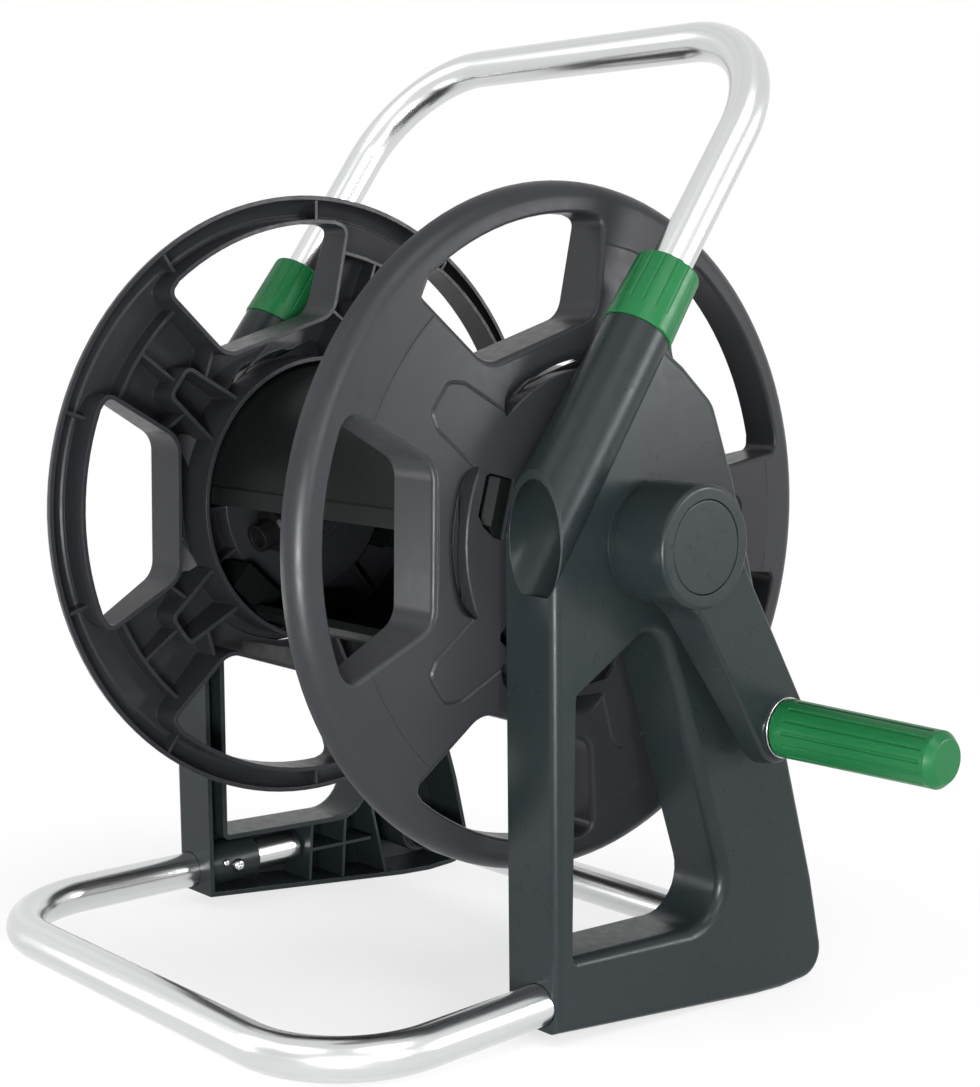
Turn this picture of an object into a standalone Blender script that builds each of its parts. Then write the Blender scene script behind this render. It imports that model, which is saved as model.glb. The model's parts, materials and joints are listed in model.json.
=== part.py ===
"""Free-standing garden hose reel: two plastic side frames, a drum on a crank,
a sliding aluminium handle and an aluminium U tube as its front foot.

Drawn in millimetres and scaled to metres. +X is the crank side, -Y the front,
+Z up. The drum turns about X. The last step puts the origin at the bottom
centre of the whole object.
"""
import bpy
import bmesh
from math import sin, cos, tan, radians, degrees, atan2, pi, sqrt, hypot
from mathutils import Vector, Matrix

for old in list(bpy.data.objects):
    bpy.data.objects.remove(old, do_unlink=True)

MM = 0.001

# Clearances
GAP = 0.3
SLIP = 0.4

# Axle and side frames
AXLE_Z = 258.7
FRAME_IN = 138.3
FRAME_OUT = 174.0
SKIN = 3.0
WALL = 3.0
LEG_FOOT = (-48.0, 7.0)
LEG_LEAN = 4.1
FRAME_EDGE_ROUND = 5.0
WINDOW_WALL = 3.0
BEARING_BORE_R = 20.0
BEARING_BOSS_R = 25.0
HUB_BOSS_R = 29.0
HUB_BOSS_X = FRAME_OUT + 6.4

# Tubes
TUBE_R = 11.0
TUBE_WALL = 1.4
SLEEVE_R = 13.2

# Handle
HANDLE_X = FRAME_OUT - 14.5
HANDLE_Y = -69.6
HANDLE_Z = 255.6
HANDLE_LEAN = 32.3
HANDLE_END = 96.0
HANDLE_CROSS = 325.7
HANDLE_BEND = 70.0
SOCKET_TOP = 128.0
SOCKET_TOP_R = 17.9
SOCKET_LOW_R = 20.8
SOCKET_BORE_R = 14.3
SOCKET_MOUTH_R = 18.6
NECK_TOP = 151.0
NECK_R = 16.7
COLLAR_TOP = 168.0
COLLAR_BAND = 9.0
COLLAR_R = 18.9
COLLAR_TOP_R = 17.6
FLUTES = 16
PLUG_HEAD_R = 13.3
PLUG_HEAD = 4.0
BUSH_LOW = 96.8
BUSH_TOP = 161.0

# Front foot tube
FOOT_X = FRAME_OUT - 13.5
FOOT_FLARE = 3.0
FOOT_CROSS_Y = -186.6
FOOT_LEG_Z = 20.4
FOOT_BEND = 60.0
FOOT_END_Y = 28.0
SLEEVE_END_Y = -5.0
SCREW_Y = -22.0
PIN_Y = -31.0

# Rear tube
REAR_Y = 120.0
REAR_Z = 28.5
REAR_SCREW_X = FRAME_OUT - 24.0

# Drum
FLANGE_R = 183.5
FLANGE_FACE = 124.0
FLANGE_PANEL = 132.8
FLANGE_LIP = 109.0
FLANGE_T = 2.8
SEAM_R = 152.0
SHOULDER_X = 120.6
SHOULDER_R = 172.0
PANEL_R = 87.0
RECESS_R = 95.5
RECESS_FLOOR = 123.5
RECESS_HALF = 26.0
RING_IN = 84.5
DISC_R = 59.5
DISC_X = 119.0
BOX_LIP = 105.0
BOX_END = 125.0
WINDOWS = 5
WINDOW_TURN = 182.6
WINDOW_RIM_R = 166.5
WINDOW_IN = 106.0
WINDOW_HALF_IN = 40.0
WINDOW_MID = 151.0
WINDOW_HALF = 65.4
WINDOW_LIP = 99.0
STUB_R = 24.0
STUB_IN = 112.0
JOURNAL_R = 17.0
JOURNAL_END = FRAME_OUT - 6.0
CORE_R = 82.0
CORE_T = 2.5
CORE_END = 112.0
UPPER_SHELL = (9.5, 181.0)
LOWER_SHELL = (233.5, 368.9)
SHELL_LIP = 6.5
TAB_OUT = 79.8
TAB_IN = 62.0
TAB_HALF = 15.0
TAB_X = 131.4
TAB_STEP = 73.5
UPPER_TABS = (168.0, 32.0)
LOWER_TABS = (231.0, 278.0, 345.0)

# Crank
HUB_R = 31.5
HUB_IN = HUB_BOSS_X + 0.8
HUB_OUT = HUB_IN + 32.8
HEX_R = 12.4
HEX_OUT = HUB_IN + 14.0
CRANK_R = 132.2
CRANK_ANGLE = -49.4
ARM_END_R = 19.0
ARM_IN = HUB_IN + 4.8
ARM_OUT = ARM_IN + 14.0
CAP_R = 24.0
CAP_T = 3.6
GRIP_IN = ARM_OUT + 1.6
GRIP_OUT = GRIP_IN + 102.4
GRIP_R = 16.0
GRIP_END_R = 15.0
GRIP_GROOVES = 14
PIN_R = 5.0

# Water inlet on the far side
INLET_PLATE_R = 26.0
INLET_REACH = 31.6
INLET_BORE = 6.0
INLET_SPIGOT_R = 8.9
LEFT_BORE_R = 9.6
RING_PLACES = (FRAME_IN + 5.0, FRAME_IN + 15.0)
ELBOW_R = 9.0
ELBOW_BEND = 20.0
ELBOW_X = -88.0
ELBOW_TURN = 201.0
ELBOW_END = 62.0

COLOURS = {
    "frame_plastic": ((0.034, 0.042, 0.045), 0.45, 0.0),
    "drum_plastic": ((0.043, 0.046, 0.051), 0.42, 0.0),
    "core_plastic": ((0.024, 0.030, 0.032), 0.5, 0.0),
    "green_plastic": ((0.013, 0.165, 0.055), 0.38, 0.0),
    "aluminium": ((0.80, 0.81, 0.82), 0.25, 1.0),
    "steel": ((0.62, 0.63, 0.64), 0.28, 1.0),
    "bearing_plastic": ((0.55, 0.55, 0.52), 0.5, 0.0),
    "black_plastic": ((0.018, 0.018, 0.019), 0.5, 0.0),
    "rubber": ((0.012, 0.012, 0.012), 0.8, 0.0),
}


def material(name):
    found = bpy.data.materials.get(name)
    if found:
        return found
    colour, rough, metal = COLOURS[name]
    made = bpy.data.materials.new(name)
    made.use_nodes = True
    shader = made.node_tree.nodes["Principled BSDF"]
    shader.inputs["Base Color"].default_value = (colour[0], colour[1], colour[2], 1.0)
    shader.inputs["Roughness"].default_value = rough
    shader.inputs["Metallic"].default_value = metal
    made.diffuse_color = (colour[0], colour[1], colour[2], 1.0)
    return made


def empty(name, at=(0.0, 0.0, 0.0), parent=None):
    made = bpy.data.objects.new(name, None)
    bpy.context.scene.collection.objects.link(made)
    made.empty_display_size = 0.02
    made.parent = parent
    made.location = [v * MM for v in at]
    return made


def to_object(bm, name):
    bmesh.ops.remove_doubles(bm, verts=bm.verts, dist=0.001)
    bmesh.ops.recalc_face_normals(bm, faces=bm.faces)
    mesh = bpy.data.meshes.new(name)
    bm.to_mesh(mesh)
    bm.free()
    made = bpy.data.objects.new(name, mesh)
    bpy.context.scene.collection.objects.link(made)
    return made


def combine(body, tools, operation):
    """Apply one boolean per tool, then remove the tool."""
    for tool in tools:
        step = body.modifiers.new("step", "BOOLEAN")
        step.operation = operation
        step.solver = "EXACT"
        step.object = tool
        view = bpy.context.evaluated_depsgraph_get()
        mesh = bpy.data.meshes.new_from_object(body.evaluated_get(view))
        body.modifiers.clear()
        body.data = mesh
        bpy.data.objects.remove(tool, do_unlink=True)
    return body


def join_tools(tools):
    """Put several separate closed volumes into one cutter."""
    bm = bmesh.new()
    for tool in tools:
        bm.from_mesh(tool.data)
        bpy.data.objects.remove(tool, do_unlink=True)
    mesh = bpy.data.meshes.new("tools")
    bm.to_mesh(mesh)
    bm.free()
    made = bpy.data.objects.new("tools", mesh)
    bpy.context.scene.collection.objects.link(made)
    return made


def finish(obj, name, material_name, parent, at=(0.0, 0.0, 0.0), sharp=35.0):
    """Scale a piece to metres and move its origin to at, a point of the drawing."""
    obj.name = name
    obj.data.name = name
    bm = bmesh.new()
    bm.from_mesh(obj.data)
    bmesh.ops.remove_doubles(bm, verts=bm.verts, dist=0.01)
    bmesh.ops.dissolve_degenerate(bm, edges=bm.edges, dist=0.01)
    bmesh.ops.triangulate(bm, faces=[f for f in bm.faces if len(f.verts) > 4])
    bmesh.ops.translate(bm, vec=[-v for v in at], verts=bm.verts)
    bmesh.ops.scale(bm, vec=(MM, MM, MM), verts=bm.verts)
    bm.to_mesh(obj.data)
    bm.free()
    obj.data.materials.clear()
    obj.data.materials.append(material(material_name))
    for face in obj.data.polygons:
        face.use_smooth = True
    obj.data.set_sharp_from_angle(angle=radians(sharp))
    obj.parent = parent
    obj.location = [v * MM for v in at]
    return obj


def settle(obj, parent, at):
    """Keep a piece drawn in the shared frame in place under a parent that stands at at."""
    obj.parent = parent
    obj.location = [o - p * MM for o, p in zip(obj.location, at)]
    return obj


def rounded(points, radii, steps=4):
    """Corners of a closed outline replaced by arcs of the given radii."""
    out = []
    count = len(points)
    for i in range(count):
        here = Vector(points[i])
        back = Vector(points[i - 1]) - here
        ahead = Vector(points[(i + 1) % count]) - here
        radius = radii[i]
        if radius <= 0:
            out.append((here.x, here.y))
            continue
        u = back.normalized()
        v = ahead.normalized()
        half = u.angle(v) / 2
        run = min(radius / tan(half), back.length * 0.49, ahead.length * 0.49)
        radius = run * tan(half)
        centre = here + (u + v).normalized() * (radius / sin(half))
        start = here + u * run
        end = here + v * run
        a0 = atan2(start.y - centre.y, start.x - centre.x)
        a1 = atan2(end.y - centre.y, end.x - centre.x)
        turn = (a1 - a0 + pi) % (2 * pi) - pi
        for k in range(steps + 1):
            a = a0 + turn * k / steps
            out.append((centre.x + radius * cos(a), centre.y + radius * sin(a)))
    return out


def inset(points, distance):
    """Closed outline moved inwards; the points run counter-clockwise."""
    out = []
    count = len(points)
    for i in range(count):
        here = Vector(points[i])
        into = (here - Vector(points[i - 1])).normalized()
        away = (Vector(points[(i + 1) % count]) - here).normalized()
        n1 = Vector((-into.y, into.x))
        n2 = Vector((-away.y, away.x))
        both = n1 + n2
        scale = 2.0 / max(both.length_squared, 0.35)
        moved = here + both * (distance * scale)
        out.append((moved.x, moved.y))
    return out


def prism(points, x0, x1, name="prism"):
    """Outline in Y and Z, drawn from x0 to x1."""
    bm = bmesh.new()
    low = [bm.verts.new((x0, p[0], p[1])) for p in points]
    high = [bm.verts.new((x1, p[0], p[1])) for p in points]
    count = len(points)
    bm.faces.new(low)
    bm.faces.new(list(reversed(high)))
    for i in range(count):
        j = (i + 1) % count
        bm.faces.new((low[i], high[i], high[j], low[j]))
    return to_object(bm, name)


def turned(profile, segments=32, at=(0.0, 0.0, 0.0), axis=(1.0, 0.0, 0.0), name="turned"):
    """Profile of (along, radius) pairs turned about an axis; ends on the axis are flat."""
    bm = bmesh.new()
    turn = Vector((1, 0, 0)).rotation_difference(Vector(axis)).to_matrix().to_4x4()
    place = Matrix.Translation(Vector(at)) @ turn
    rings = []
    for along, radius in profile:
        ring = []
        for k in range(segments if radius > 0 else 0):
            a = 2 * pi * k / segments
            ring.append(bm.verts.new(place @ Vector((along, radius * cos(a), radius * sin(a)))))
        rings.append(ring)
    count = len(rings)
    for i in range(count):
        one = rings[i]
        two = rings[(i + 1) % count]
        if one and two:
            for k in range(segments):
                m = (k + 1) % segments
                bm.faces.new((one[k], one[m], two[m], two[k]))
        elif one or two:
            bm.faces.new(one or two)
    return to_object(bm, name)


def rod(start, end, r0, r1=None, segments=24, name="rod"):
    """Solid round bar or cone between two points."""
    r1 = r0 if r1 is None else r1
    way = Vector(end) - Vector(start)
    profile = [(0.0, 0.0), (0.0, r0), (way.length, r1), (way.length, 0.0)]
    return turned(profile, segments, start, way.normalized(), name)


def box(x, y, z, name="box"):
    """Block between pairs of limits."""
    return prism([(y[0], z[0]), (y[1], z[0]), (y[1], z[1]), (y[0], z[1])], x[0], x[1], name)


def strip(start, end, width, x0, x1):
    """Thin rib in the plane of the frame from start to end."""
    a = Vector(start)
    b = Vector(end)
    side = Vector((-(b - a).y, (b - a).x)).normalized() * (width / 2)
    return prism([tuple(a - side), tuple(b - side), tuple(b + side), tuple(a + side)], x0, x1)


def polar(radius, across, degrees_turn):
    """Point given by its radial and tangential distance, about the axle."""
    a = radians(degrees_turn)
    return (radius * cos(a) - across * sin(a), radius * sin(a) + across * cos(a) + AXLE_Z)


def swept_tube(path, across, outer, inner, segments=16, name="tube"):
    """Hollow round tube along a path that lies in one plane; across is that plane's normal."""
    bm = bmesh.new()
    normal = Vector(across).normalized()
    loops = []
    for i, point in enumerate(path):
        here = Vector(point)
        if i == 0:
            ahead = (Vector(path[1]) - here).normalized()
        elif i == len(path) - 1:
            ahead = (here - Vector(path[i - 1])).normalized()
        else:
            first = (here - Vector(path[i - 1])).normalized()
            second = (Vector(path[i + 1]) - here).normalized()
            ahead = (first + second).normalized()
        side = ahead.cross(normal).normalized()
        out_loop = []
        in_loop = []
        for k in range(segments):
            a = 2 * pi * k / segments
            way = side * cos(a) + normal * sin(a)
            out_loop.append(bm.verts.new(here + way * outer))
            in_loop.append(bm.verts.new(here + way * inner))
        loops.append((out_loop, in_loop))
    for i in range(len(loops) - 1):
        for k in range(segments):
            m = (k + 1) % segments
            for lane in (0, 1):
                a = loops[i][lane]
                b = loops[i + 1][lane]
                bm.faces.new((a[k], a[m], b[m], b[k]))
    for out_loop, in_loop in (loops[0], loops[-1]):
        for k in range(segments):
            m = (k + 1) % segments
            bm.faces.new((out_loop[k], out_loop[m], in_loop[m], in_loop[k]))
    return to_object(bm, name)


def arc_points(centre, start, end, steps):
    """Points of an arc from start to end about centre, without its two ends."""
    c = Vector(centre)
    u = Vector(start) - c
    w = Vector(end) - c
    angle = u.angle(w)
    out = []
    for k in range(1, steps):
        t = k / steps
        out.append(tuple(c + (u * sin((1 - t) * angle) + w * sin(t * angle)) / sin(angle)))
    return out


LEAN = Vector((0.0, sin(radians(HANDLE_LEAN)), cos(radians(HANDLE_LEAN))))
BACK = Vector((0.0, cos(radians(HANDLE_LEAN)), -sin(radians(HANDLE_LEAN))))


def on_handle(side, along, x=HANDLE_X):
    return Vector((side * x, HANDLE_Y, HANDLE_Z)) + LEAN * along


def leg_y(z):
    """Front face of the leg, which leans forward towards the top."""
    return LEG_FOOT[0] - (z - LEG_FOOT[1]) * tan(radians(LEG_LEAN))


def foot_z(y):
    """Height of the foot tube's centre line, which falls to the front."""
    slope = (FOOT_LEG_Z - TUBE_R) / (LEG_FOOT[0] - FOOT_CROSS_Y)
    return TUBE_R + (y - FOOT_CROSS_Y) * slope


MOUTH_Z = 261.0
MOUTH = (leg_y(MOUTH_Z), MOUTH_Z)
NECK_POINT = on_handle(1, SOCKET_TOP - 2.0)
NECK_BACK = on_handle(1, SOCKET_TOP - 1.5) + BACK * 15.0

FRAME_OUTLINE = rounded(
    [LEG_FOOT, (106.0, 0.0), (130.0, 0.0), (168.5, 4.0), (151.0, 62.0), (66.0, 288.0), (46.0, 330.0),
     (22.0, 348.0), (NECK_BACK.y, NECK_BACK.z), (NECK_POINT.y, NECK_POINT.z), MOUTH],
    [0.0, 0.0, 0.0, 20.0, 60.0, 40.0, 20.0, 10.0, 0.0, 0.0, 0.0], 3)

FRAME_WINDOW = rounded(
    [(-37.1, 45.0), (83.7, 47.5), (13.8, 214.7), (-45.6, 181.5)],
    [2.0, 23.0, 13.0, 4.0])

FOOT_RIBS = (
    ((31.0, 4.0), (31.0, 45.0)),
    ((58.0, 3.0), (58.0, 47.0)),
    ((31.0, 26.0), (80.0, 28.0)),
    ((78.0, 56.0), (94.0, 3.0)),
)
LEG_RIBS = (72.0, 104.0, 136.0, 168.0)
HUB_RIBS = (75.0, 35.0, 350.0, 155.0, 215.0, 262.0)
HUB_RIB_REACH = {75.0: 92.0, 35.0: 72.0, 350.0: 82.0, 155.0: 66.0, 215.0: 70.0, 262.0: 54.0}


def frame_solid():
    """Full plate with its outer edge rounded."""
    edge = FRAME_EDGE_ROUND
    sections = ((FRAME_IN, 0.0), (FRAME_OUT - edge, 0.0), (FRAME_OUT - 0.3 * edge, 0.3 * edge),
                (FRAME_OUT, edge))
    bm = bmesh.new()
    rings = []
    for x, shrink in sections:
        rings.append([bm.verts.new((x, p[0], p[1])) for p in inset(FRAME_OUTLINE, shrink)])
    count = len(FRAME_OUTLINE)
    for one, two in zip(rings, rings[1:]):
        for i in range(count):
            j = (i + 1) % count
            bm.faces.new((one[i], two[i], two[j], one[j]))
    bm.faces.new(rings[0])
    bm.faces.new(rings[-1])
    return to_object(bm, "plate")


def frame_pocket():
    """Hollow of the plate's inner side, less the walls, bosses and ribs that stay in it."""
    deep = FRAME_OUT - SKIN
    hollow = prism(inset(FRAME_OUTLINE, WALL), FRAME_IN - 2, deep)
    collar_wall = prism(inset(FRAME_WINDOW, -WINDOW_WALL), FRAME_IN - 4, deep + 1)
    boss = rod((FRAME_IN - 4, 0, AXLE_Z), (deep + 1, 0, AXLE_Z), BEARING_BOSS_R, None, 32)
    return combine(hollow, [collar_wall, boss, foot_sleeve(1), rear_cup(1)] + frame_ribs(), "DIFFERENCE")


def frame_ribs():
    x0 = FRAME_IN + 3
    x1 = FRAME_OUT - SKIN + 0.6
    ribs = [strip(a, b, 2.0, x0, x1) for a, b in FOOT_RIBS]
    for z in LEG_RIBS:
        front = leg_y(z) + WALL - 1
        ribs.append(strip((front, z), (front + 12, z + 1), 2.0, FRAME_IN + 12, x1))
    for a in HUB_RIBS:
        start = polar(BEARING_BOSS_R - 2, 0, a)
        end = polar(HUB_RIB_REACH[a], 0, a)
        ribs.append(strip(start, end, 2.0, x0, x1))
    return ribs


def socket_outside(side):
    low = -60.0
    body = rod(on_handle(side, low), on_handle(side, SOCKET_TOP),
               SOCKET_LOW_R + 0.6, SOCKET_TOP_R, 32)
    neck = rod(on_handle(side, SOCKET_TOP - 4), on_handle(side, NECK_TOP), NECK_R, None, 32)
    body = combine(body, [neck], "UNION")
    far = 140.0
    front = [(leg_y(-60.0) - far, -60.0), (leg_y(-60.0), -60.0), (leg_y(420.0), 420.0),
             (leg_y(420.0) - far, 420.0)]
    return combine(body, [prism(front, -250, 250)], "DIFFERENCE")


def socket_bore(side):
    profile = [(-70.0, 0.0), (-70.0, SOCKET_MOUTH_R), (10.0, SOCKET_MOUTH_R),
               (85.0, SOCKET_BORE_R), (NECK_TOP + 5, SOCKET_BORE_R), (NECK_TOP + 5, 0.0)]
    return turned(profile, 32, on_handle(side, 0.0), LEAN)


def foot_point(side, y):
    return Vector((side * FOOT_X, y, foot_z(y)))


def foot_sleeve(side):
    return rod(foot_point(side, LEG_FOOT[0]), foot_point(side, SLEEVE_END_Y), SLEEVE_R)


def foot_bore(side):
    return rod(foot_point(side, LEG_FOOT[0] - 8), foot_point(side, FOOT_END_Y + 1.0), TUBE_R + GAP)


def rear_cup(side):
    return rod((side * (FRAME_IN + 1.5), REAR_Y, REAR_Z),
               (side * (FRAME_OUT - SKIN + 0.8), REAR_Y, REAR_Z), SLEEVE_R + 0.6)


def rear_bore(side):
    return rod((side * (FRAME_IN - 4), REAR_Y, REAR_Z),
               (side * (FRAME_OUT - SKIN - 1.0), REAR_Y, REAR_Z), TUBE_R + GAP)


def screw_holes(side):
    """Holes across the sleeve for the screw and the pin, and down into the rear cup."""
    holes = []
    for y, r in ((SCREW_Y, 2.2), (PIN_Y, 1.9)):
        z = foot_z(y) + (3.0 if y == PIN_Y else 0.0)
        holes.append(rod((side * (FRAME_IN - 4), y, z), (side * FOOT_X, y, z), r, None, 16))
    holes.append(rod((side * REAR_SCREW_X, REAR_Y, REAR_Z),
                     (side * REAR_SCREW_X, REAR_Y, REAR_Z + 18), 2.2, None, 16))
    return holes


def mirrored_if_left(obj, side):
    if side < 0:
        bm = bmesh.new()
        bm.from_mesh(obj.data)
        bmesh.ops.scale(bm, vec=(-1, 1, 1), verts=bm.verts)
        bmesh.ops.reverse_faces(bm, faces=bm.faces)
        bm.to_mesh(obj.data)
        bm.free()
    return obj


def side_frame(side, name, root):
    body = combine(frame_solid(), [frame_pocket()], "DIFFERENCE")
    raised = rod((FRAME_OUT - 1.5, 0, AXLE_Z), (HUB_BOSS_X, 0, AXLE_Z), HUB_BOSS_R, None, 32)
    body = combine(body, [raised, socket_outside(1)], "UNION")
    bearing = rod((FRAME_IN - 5, 0, AXLE_Z), (HUB_BOSS_X + 5, 0, AXLE_Z), BEARING_BORE_R, None, 32)
    cuts = [prism(FRAME_WINDOW, FRAME_IN - 5, FRAME_OUT + 5), socket_bore(1), bearing,
            foot_bore(1), rear_bore(1)]
    body = combine(body, cuts, "DIFFERENCE")
    body = combine(body, screw_holes(1), "DIFFERENCE")
    return finish(mirrored_if_left(body, side), name, "frame_plastic", root)


def handle_path():
    top = HANDLE_CROSS
    low = HANDLE_END
    bend = HANDLE_BEND
    points = [on_handle(-1, low), on_handle(-1, top - bend)]
    centre = on_handle(-1, top - bend, HANDLE_X - bend)
    end = on_handle(-1, top, HANDLE_X - bend)
    points += arc_points(centre, points[-1], end, 7)
    points += [end]
    left = [Vector(p) for p in points]
    right = [Vector((-p.x, p.y, p.z)) for p in reversed(left)]
    return left + right


def handle_tube(parent, at):
    body = swept_tube(handle_path(), BACK, TUBE_R, TUBE_R - TUBE_WALL, 16)
    made = finish(body, "handle_tube", "aluminium", None)
    return settle(made, parent, at)


def handle_plug(side, name, parent, at):
    inner = TUBE_R - TUBE_WALL - GAP
    start = on_handle(side, HANDLE_END - GAP - PLUG_HEAD)
    profile = [(0.0, 0.0), (0.0, PLUG_HEAD_R - 1), (1.0, PLUG_HEAD_R), (PLUG_HEAD, PLUG_HEAD_R),
               (PLUG_HEAD, inner), (PLUG_HEAD + 17, inner), (PLUG_HEAD + 18, inner - 1),
               (PLUG_HEAD + 18, 0.0)]
    made = finish(turned(profile, 20, start, LEAN), name, "black_plastic", None)
    return settle(made, parent, at)


def handle_bush(side, name, root):
    """Guide bush between the tube and the socket, with the taper the collar squeezes."""
    outer = SOCKET_BORE_R - GAP
    inner = TUBE_R + GAP
    length = BUSH_TOP - BUSH_LOW
    profile = [(0.0, inner), (0.0, outer), (length - 9, outer), (length, outer - 1.8),
               (length, inner)]
    return finish(turned(profile, 20, on_handle(side, BUSH_LOW), LEAN), name,
                  "bearing_plastic", root)


def collar(side, name, parent):
    """Green twist collar: plain band below, flutes above, taper inside at the top."""
    low = SOCKET_TOP + GAP
    height = COLLAR_TOP - low
    inner = NECK_R + GAP
    profile = [(0.0, inner), (0.0, COLLAR_R - 0.6), (0.6, COLLAR_R), (COLLAR_BAND, COLLAR_R - 0.3),
               (height - 1.2, COLLAR_TOP_R), (height, COLLAR_TOP_R - 1.2),
               (height, TUBE_R + SLIP), (height - 5.0, TUBE_R + SLIP + 1.7),
               (NECK_TOP + 1.2 - low, inner)]
    body = turned(profile, 32, on_handle(side, low), LEAN)
    cutters = []
    for k in range(FLUTES):
        a = 2 * pi * (k + 0.5) / FLUTES
        way = Vector((1, 0, 0)) * cos(a) + BACK * sin(a)
        reach = COLLAR_R + 0.35
        start = on_handle(side, low + COLLAR_BAND + 1.5) + way * reach
        end = on_handle(side, COLLAR_TOP + 2) + way * (reach - 1.1)
        cutters.append(rod(start, end, 1.1, None, 6))
    body = combine(body, [join_tools(cutters)], "DIFFERENCE")
    return finish(body, name, "green_plastic", parent, tuple(on_handle(side, low + height / 2)))


def foot_path():
    low = foot_z(FOOT_CROSS_Y)
    wide = FOOT_X + FOOT_FLARE
    left = [foot_point(-1, FOOT_END_Y), foot_point(-1, LEG_FOOT[0] - 4)]
    left.append(foot_point(-1, FOOT_CROSS_Y + FOOT_BEND) - Vector((FOOT_FLARE, 0, 0)))
    centre = Vector((-wide + FOOT_BEND, left[-1].y, left[-1].z))
    end = Vector((-wide + FOOT_BEND, FOOT_CROSS_Y, low))
    left += [Vector(p) for p in arc_points(centre, left[-1], end, 7)]
    left.append(end)
    right = [Vector((-p.x, p.y, p.z)) for p in reversed(left)]
    return left + right


def foot_tube(root):
    run = (foot_point(1, 0.0) - foot_point(1, -100.0)).normalized()
    body = swept_tube(foot_path(), run.cross(Vector((1, 0, 0))), TUBE_R, TUBE_R - TUBE_WALL, 16)
    holes = []
    for side in (-1, 1):
        for y, r in ((SCREW_Y, 2.2), (PIN_Y, 1.9)):
            z = foot_z(y) + (3.0 if y == PIN_Y else 0.0)
            holes.append(rod((side * (FOOT_X - TUBE_R - 4), y, z), (side * FOOT_X, y, z), r, None, 16))
    body = combine(body, [join_tools(holes)], "DIFFERENCE")
    return finish(body, "foot_tube", "aluminium", root)


def rear_tube(root):
    reach = FRAME_OUT - SKIN - 1.0 - GAP
    body = swept_tube([(-reach, REAR_Y, REAR_Z), (reach, REAR_Y, REAR_Z)], (0, 0, 1),
                      TUBE_R, TUBE_R - TUBE_WALL, 16)
    holes = [rod((side * REAR_SCREW_X, REAR_Y, REAR_Z), (side * REAR_SCREW_X, REAR_Y, REAR_Z + 18),
                 2.2, None, 16) for side in (-1, 1)]
    body = combine(body, [join_tools(holes)], "DIFFERENCE")
    return finish(body, "rear_tube", "aluminium", root)


def screw(seat, way, head_r, head_h, shank_r, length):
    """Pan-head screw standing on its seat, shank along way."""
    profile = [(-head_h, 0.0), (-head_h, head_r * 0.55), (-head_h * 0.55, head_r * 0.9),
               (0.0, head_r), (0.0, shank_r), (length - 1.5, shank_r), (length, shank_r * 0.4),
               (length, 0.0)]
    return turned(profile, 16, seat, way)


def foot_screw(side, name, root):
    seat = (side * (FOOT_X - SLEEVE_R - GAP), SCREW_Y, foot_z(SCREW_Y))
    return finish(screw(seat, (side, 0, 0), 4.2, 2.6, 1.9, 11.0), name, "steel", root)


def foot_pin(side, name, root):
    z = foot_z(PIN_Y) + 3.0
    profile = [(-1.2, 0.0), (-0.9, 1.8), (0.0, 2.3), (0.0, 1.6), (9.0, 1.6), (9.0, 0.0)]
    seat = (side * (FOOT_X - SLEEVE_R - GAP + 0.3), PIN_Y, z)
    return finish(turned(profile, 12, seat, (side, 0, 0)), name, "steel", root)


def rear_screw(side, name, root):
    seat = (side * REAR_SCREW_X, REAR_Y, REAR_Z + SLEEVE_R + 0.6 + GAP)
    return finish(screw(seat, (0, 0, -1), 4.2, 2.6, 1.9, 11.0), name, "steel", root)


def window_outline(turn, grow=0.0):
    """Drum window: straight inner side, slanted flanks and the rim's arc outside."""
    limit = atan2(WINDOW_HALF, WINDOW_MID)
    points = [(WINDOW_IN, -WINDOW_HALF_IN), (WINDOW_MID, -WINDOW_HALF)]
    for k in range(1, 5):
        a = -limit + 2 * limit * k / 5
        points.append((WINDOW_RIM_R * cos(a), WINDOW_RIM_R * sin(a)))
    points += [(WINDOW_MID, WINDOW_HALF), (WINDOW_IN, WINDOW_HALF_IN)]
    outline = rounded(points, [11.0, 8.0] + [0.0] * 4 + [8.0, 11.0], 3)
    if grow:
        outline = inset(outline, -grow)
    return [polar(u, v, turn) for u, v in outline]


def tab_outline(turn, far=TAB_OUT, grow=0.0):
    return [polar(TAB_IN - grow, -TAB_HALF - grow, turn), polar(far + grow, -TAB_HALF - grow, turn),
            polar(far + grow, TAB_HALF + grow, turn), polar(TAB_IN - grow, TAB_HALF + grow, turn)]


def face_x(radius):
    """Outside of the flange: a cone from the panel to the seam, then a shallower one."""
    if radius > SEAM_R:
        return FLANGE_FACE - (FLANGE_FACE - SHOULDER_X) * (radius - SEAM_R) / (SHOULDER_R - SEAM_R)
    return FLANGE_FACE + (FLANGE_PANEL - FLANGE_FACE) * (SEAM_R - radius) / (SEAM_R - PANEL_R)


def into_skin(wall):
    """Outer end of a flange wall moved to the middle of the sloping skin."""
    for vertex in wall.data.vertices:
        if vertex.co.x > FLANGE_LIP + 2:
            radius = hypot(vertex.co.y, vertex.co.z - AXLE_Z)
            vertex.co.x = face_x(radius) - FLANGE_T / 2
    return wall


def local_wall(turn, points, x0):
    """Wall on the inside of the skin, drawn along and across a spoke."""
    return into_skin(prism([polar(u, v, turn) for u, v in points], x0, FLANGE_FACE))


def spoke_box(turn):
    """Tapered box on the inner side of a spoke, open towards the ring wall."""
    low = PANEL_R - 1.0
    points = [(low, -15.8), (BOX_END - 5, -11.8), (BOX_END, -6.5), (BOX_END, 6.5), (BOX_END - 5, 11.8),
              (low, 15.8), (low, 13.6), (BOX_END - 6, 9.6), (BOX_END - 2.2, 5.6), (BOX_END - 2.2, -5.6),
              (BOX_END - 6, -9.6), (low, -13.6)]
    return local_wall(turn, points, BOX_LIP)


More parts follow.
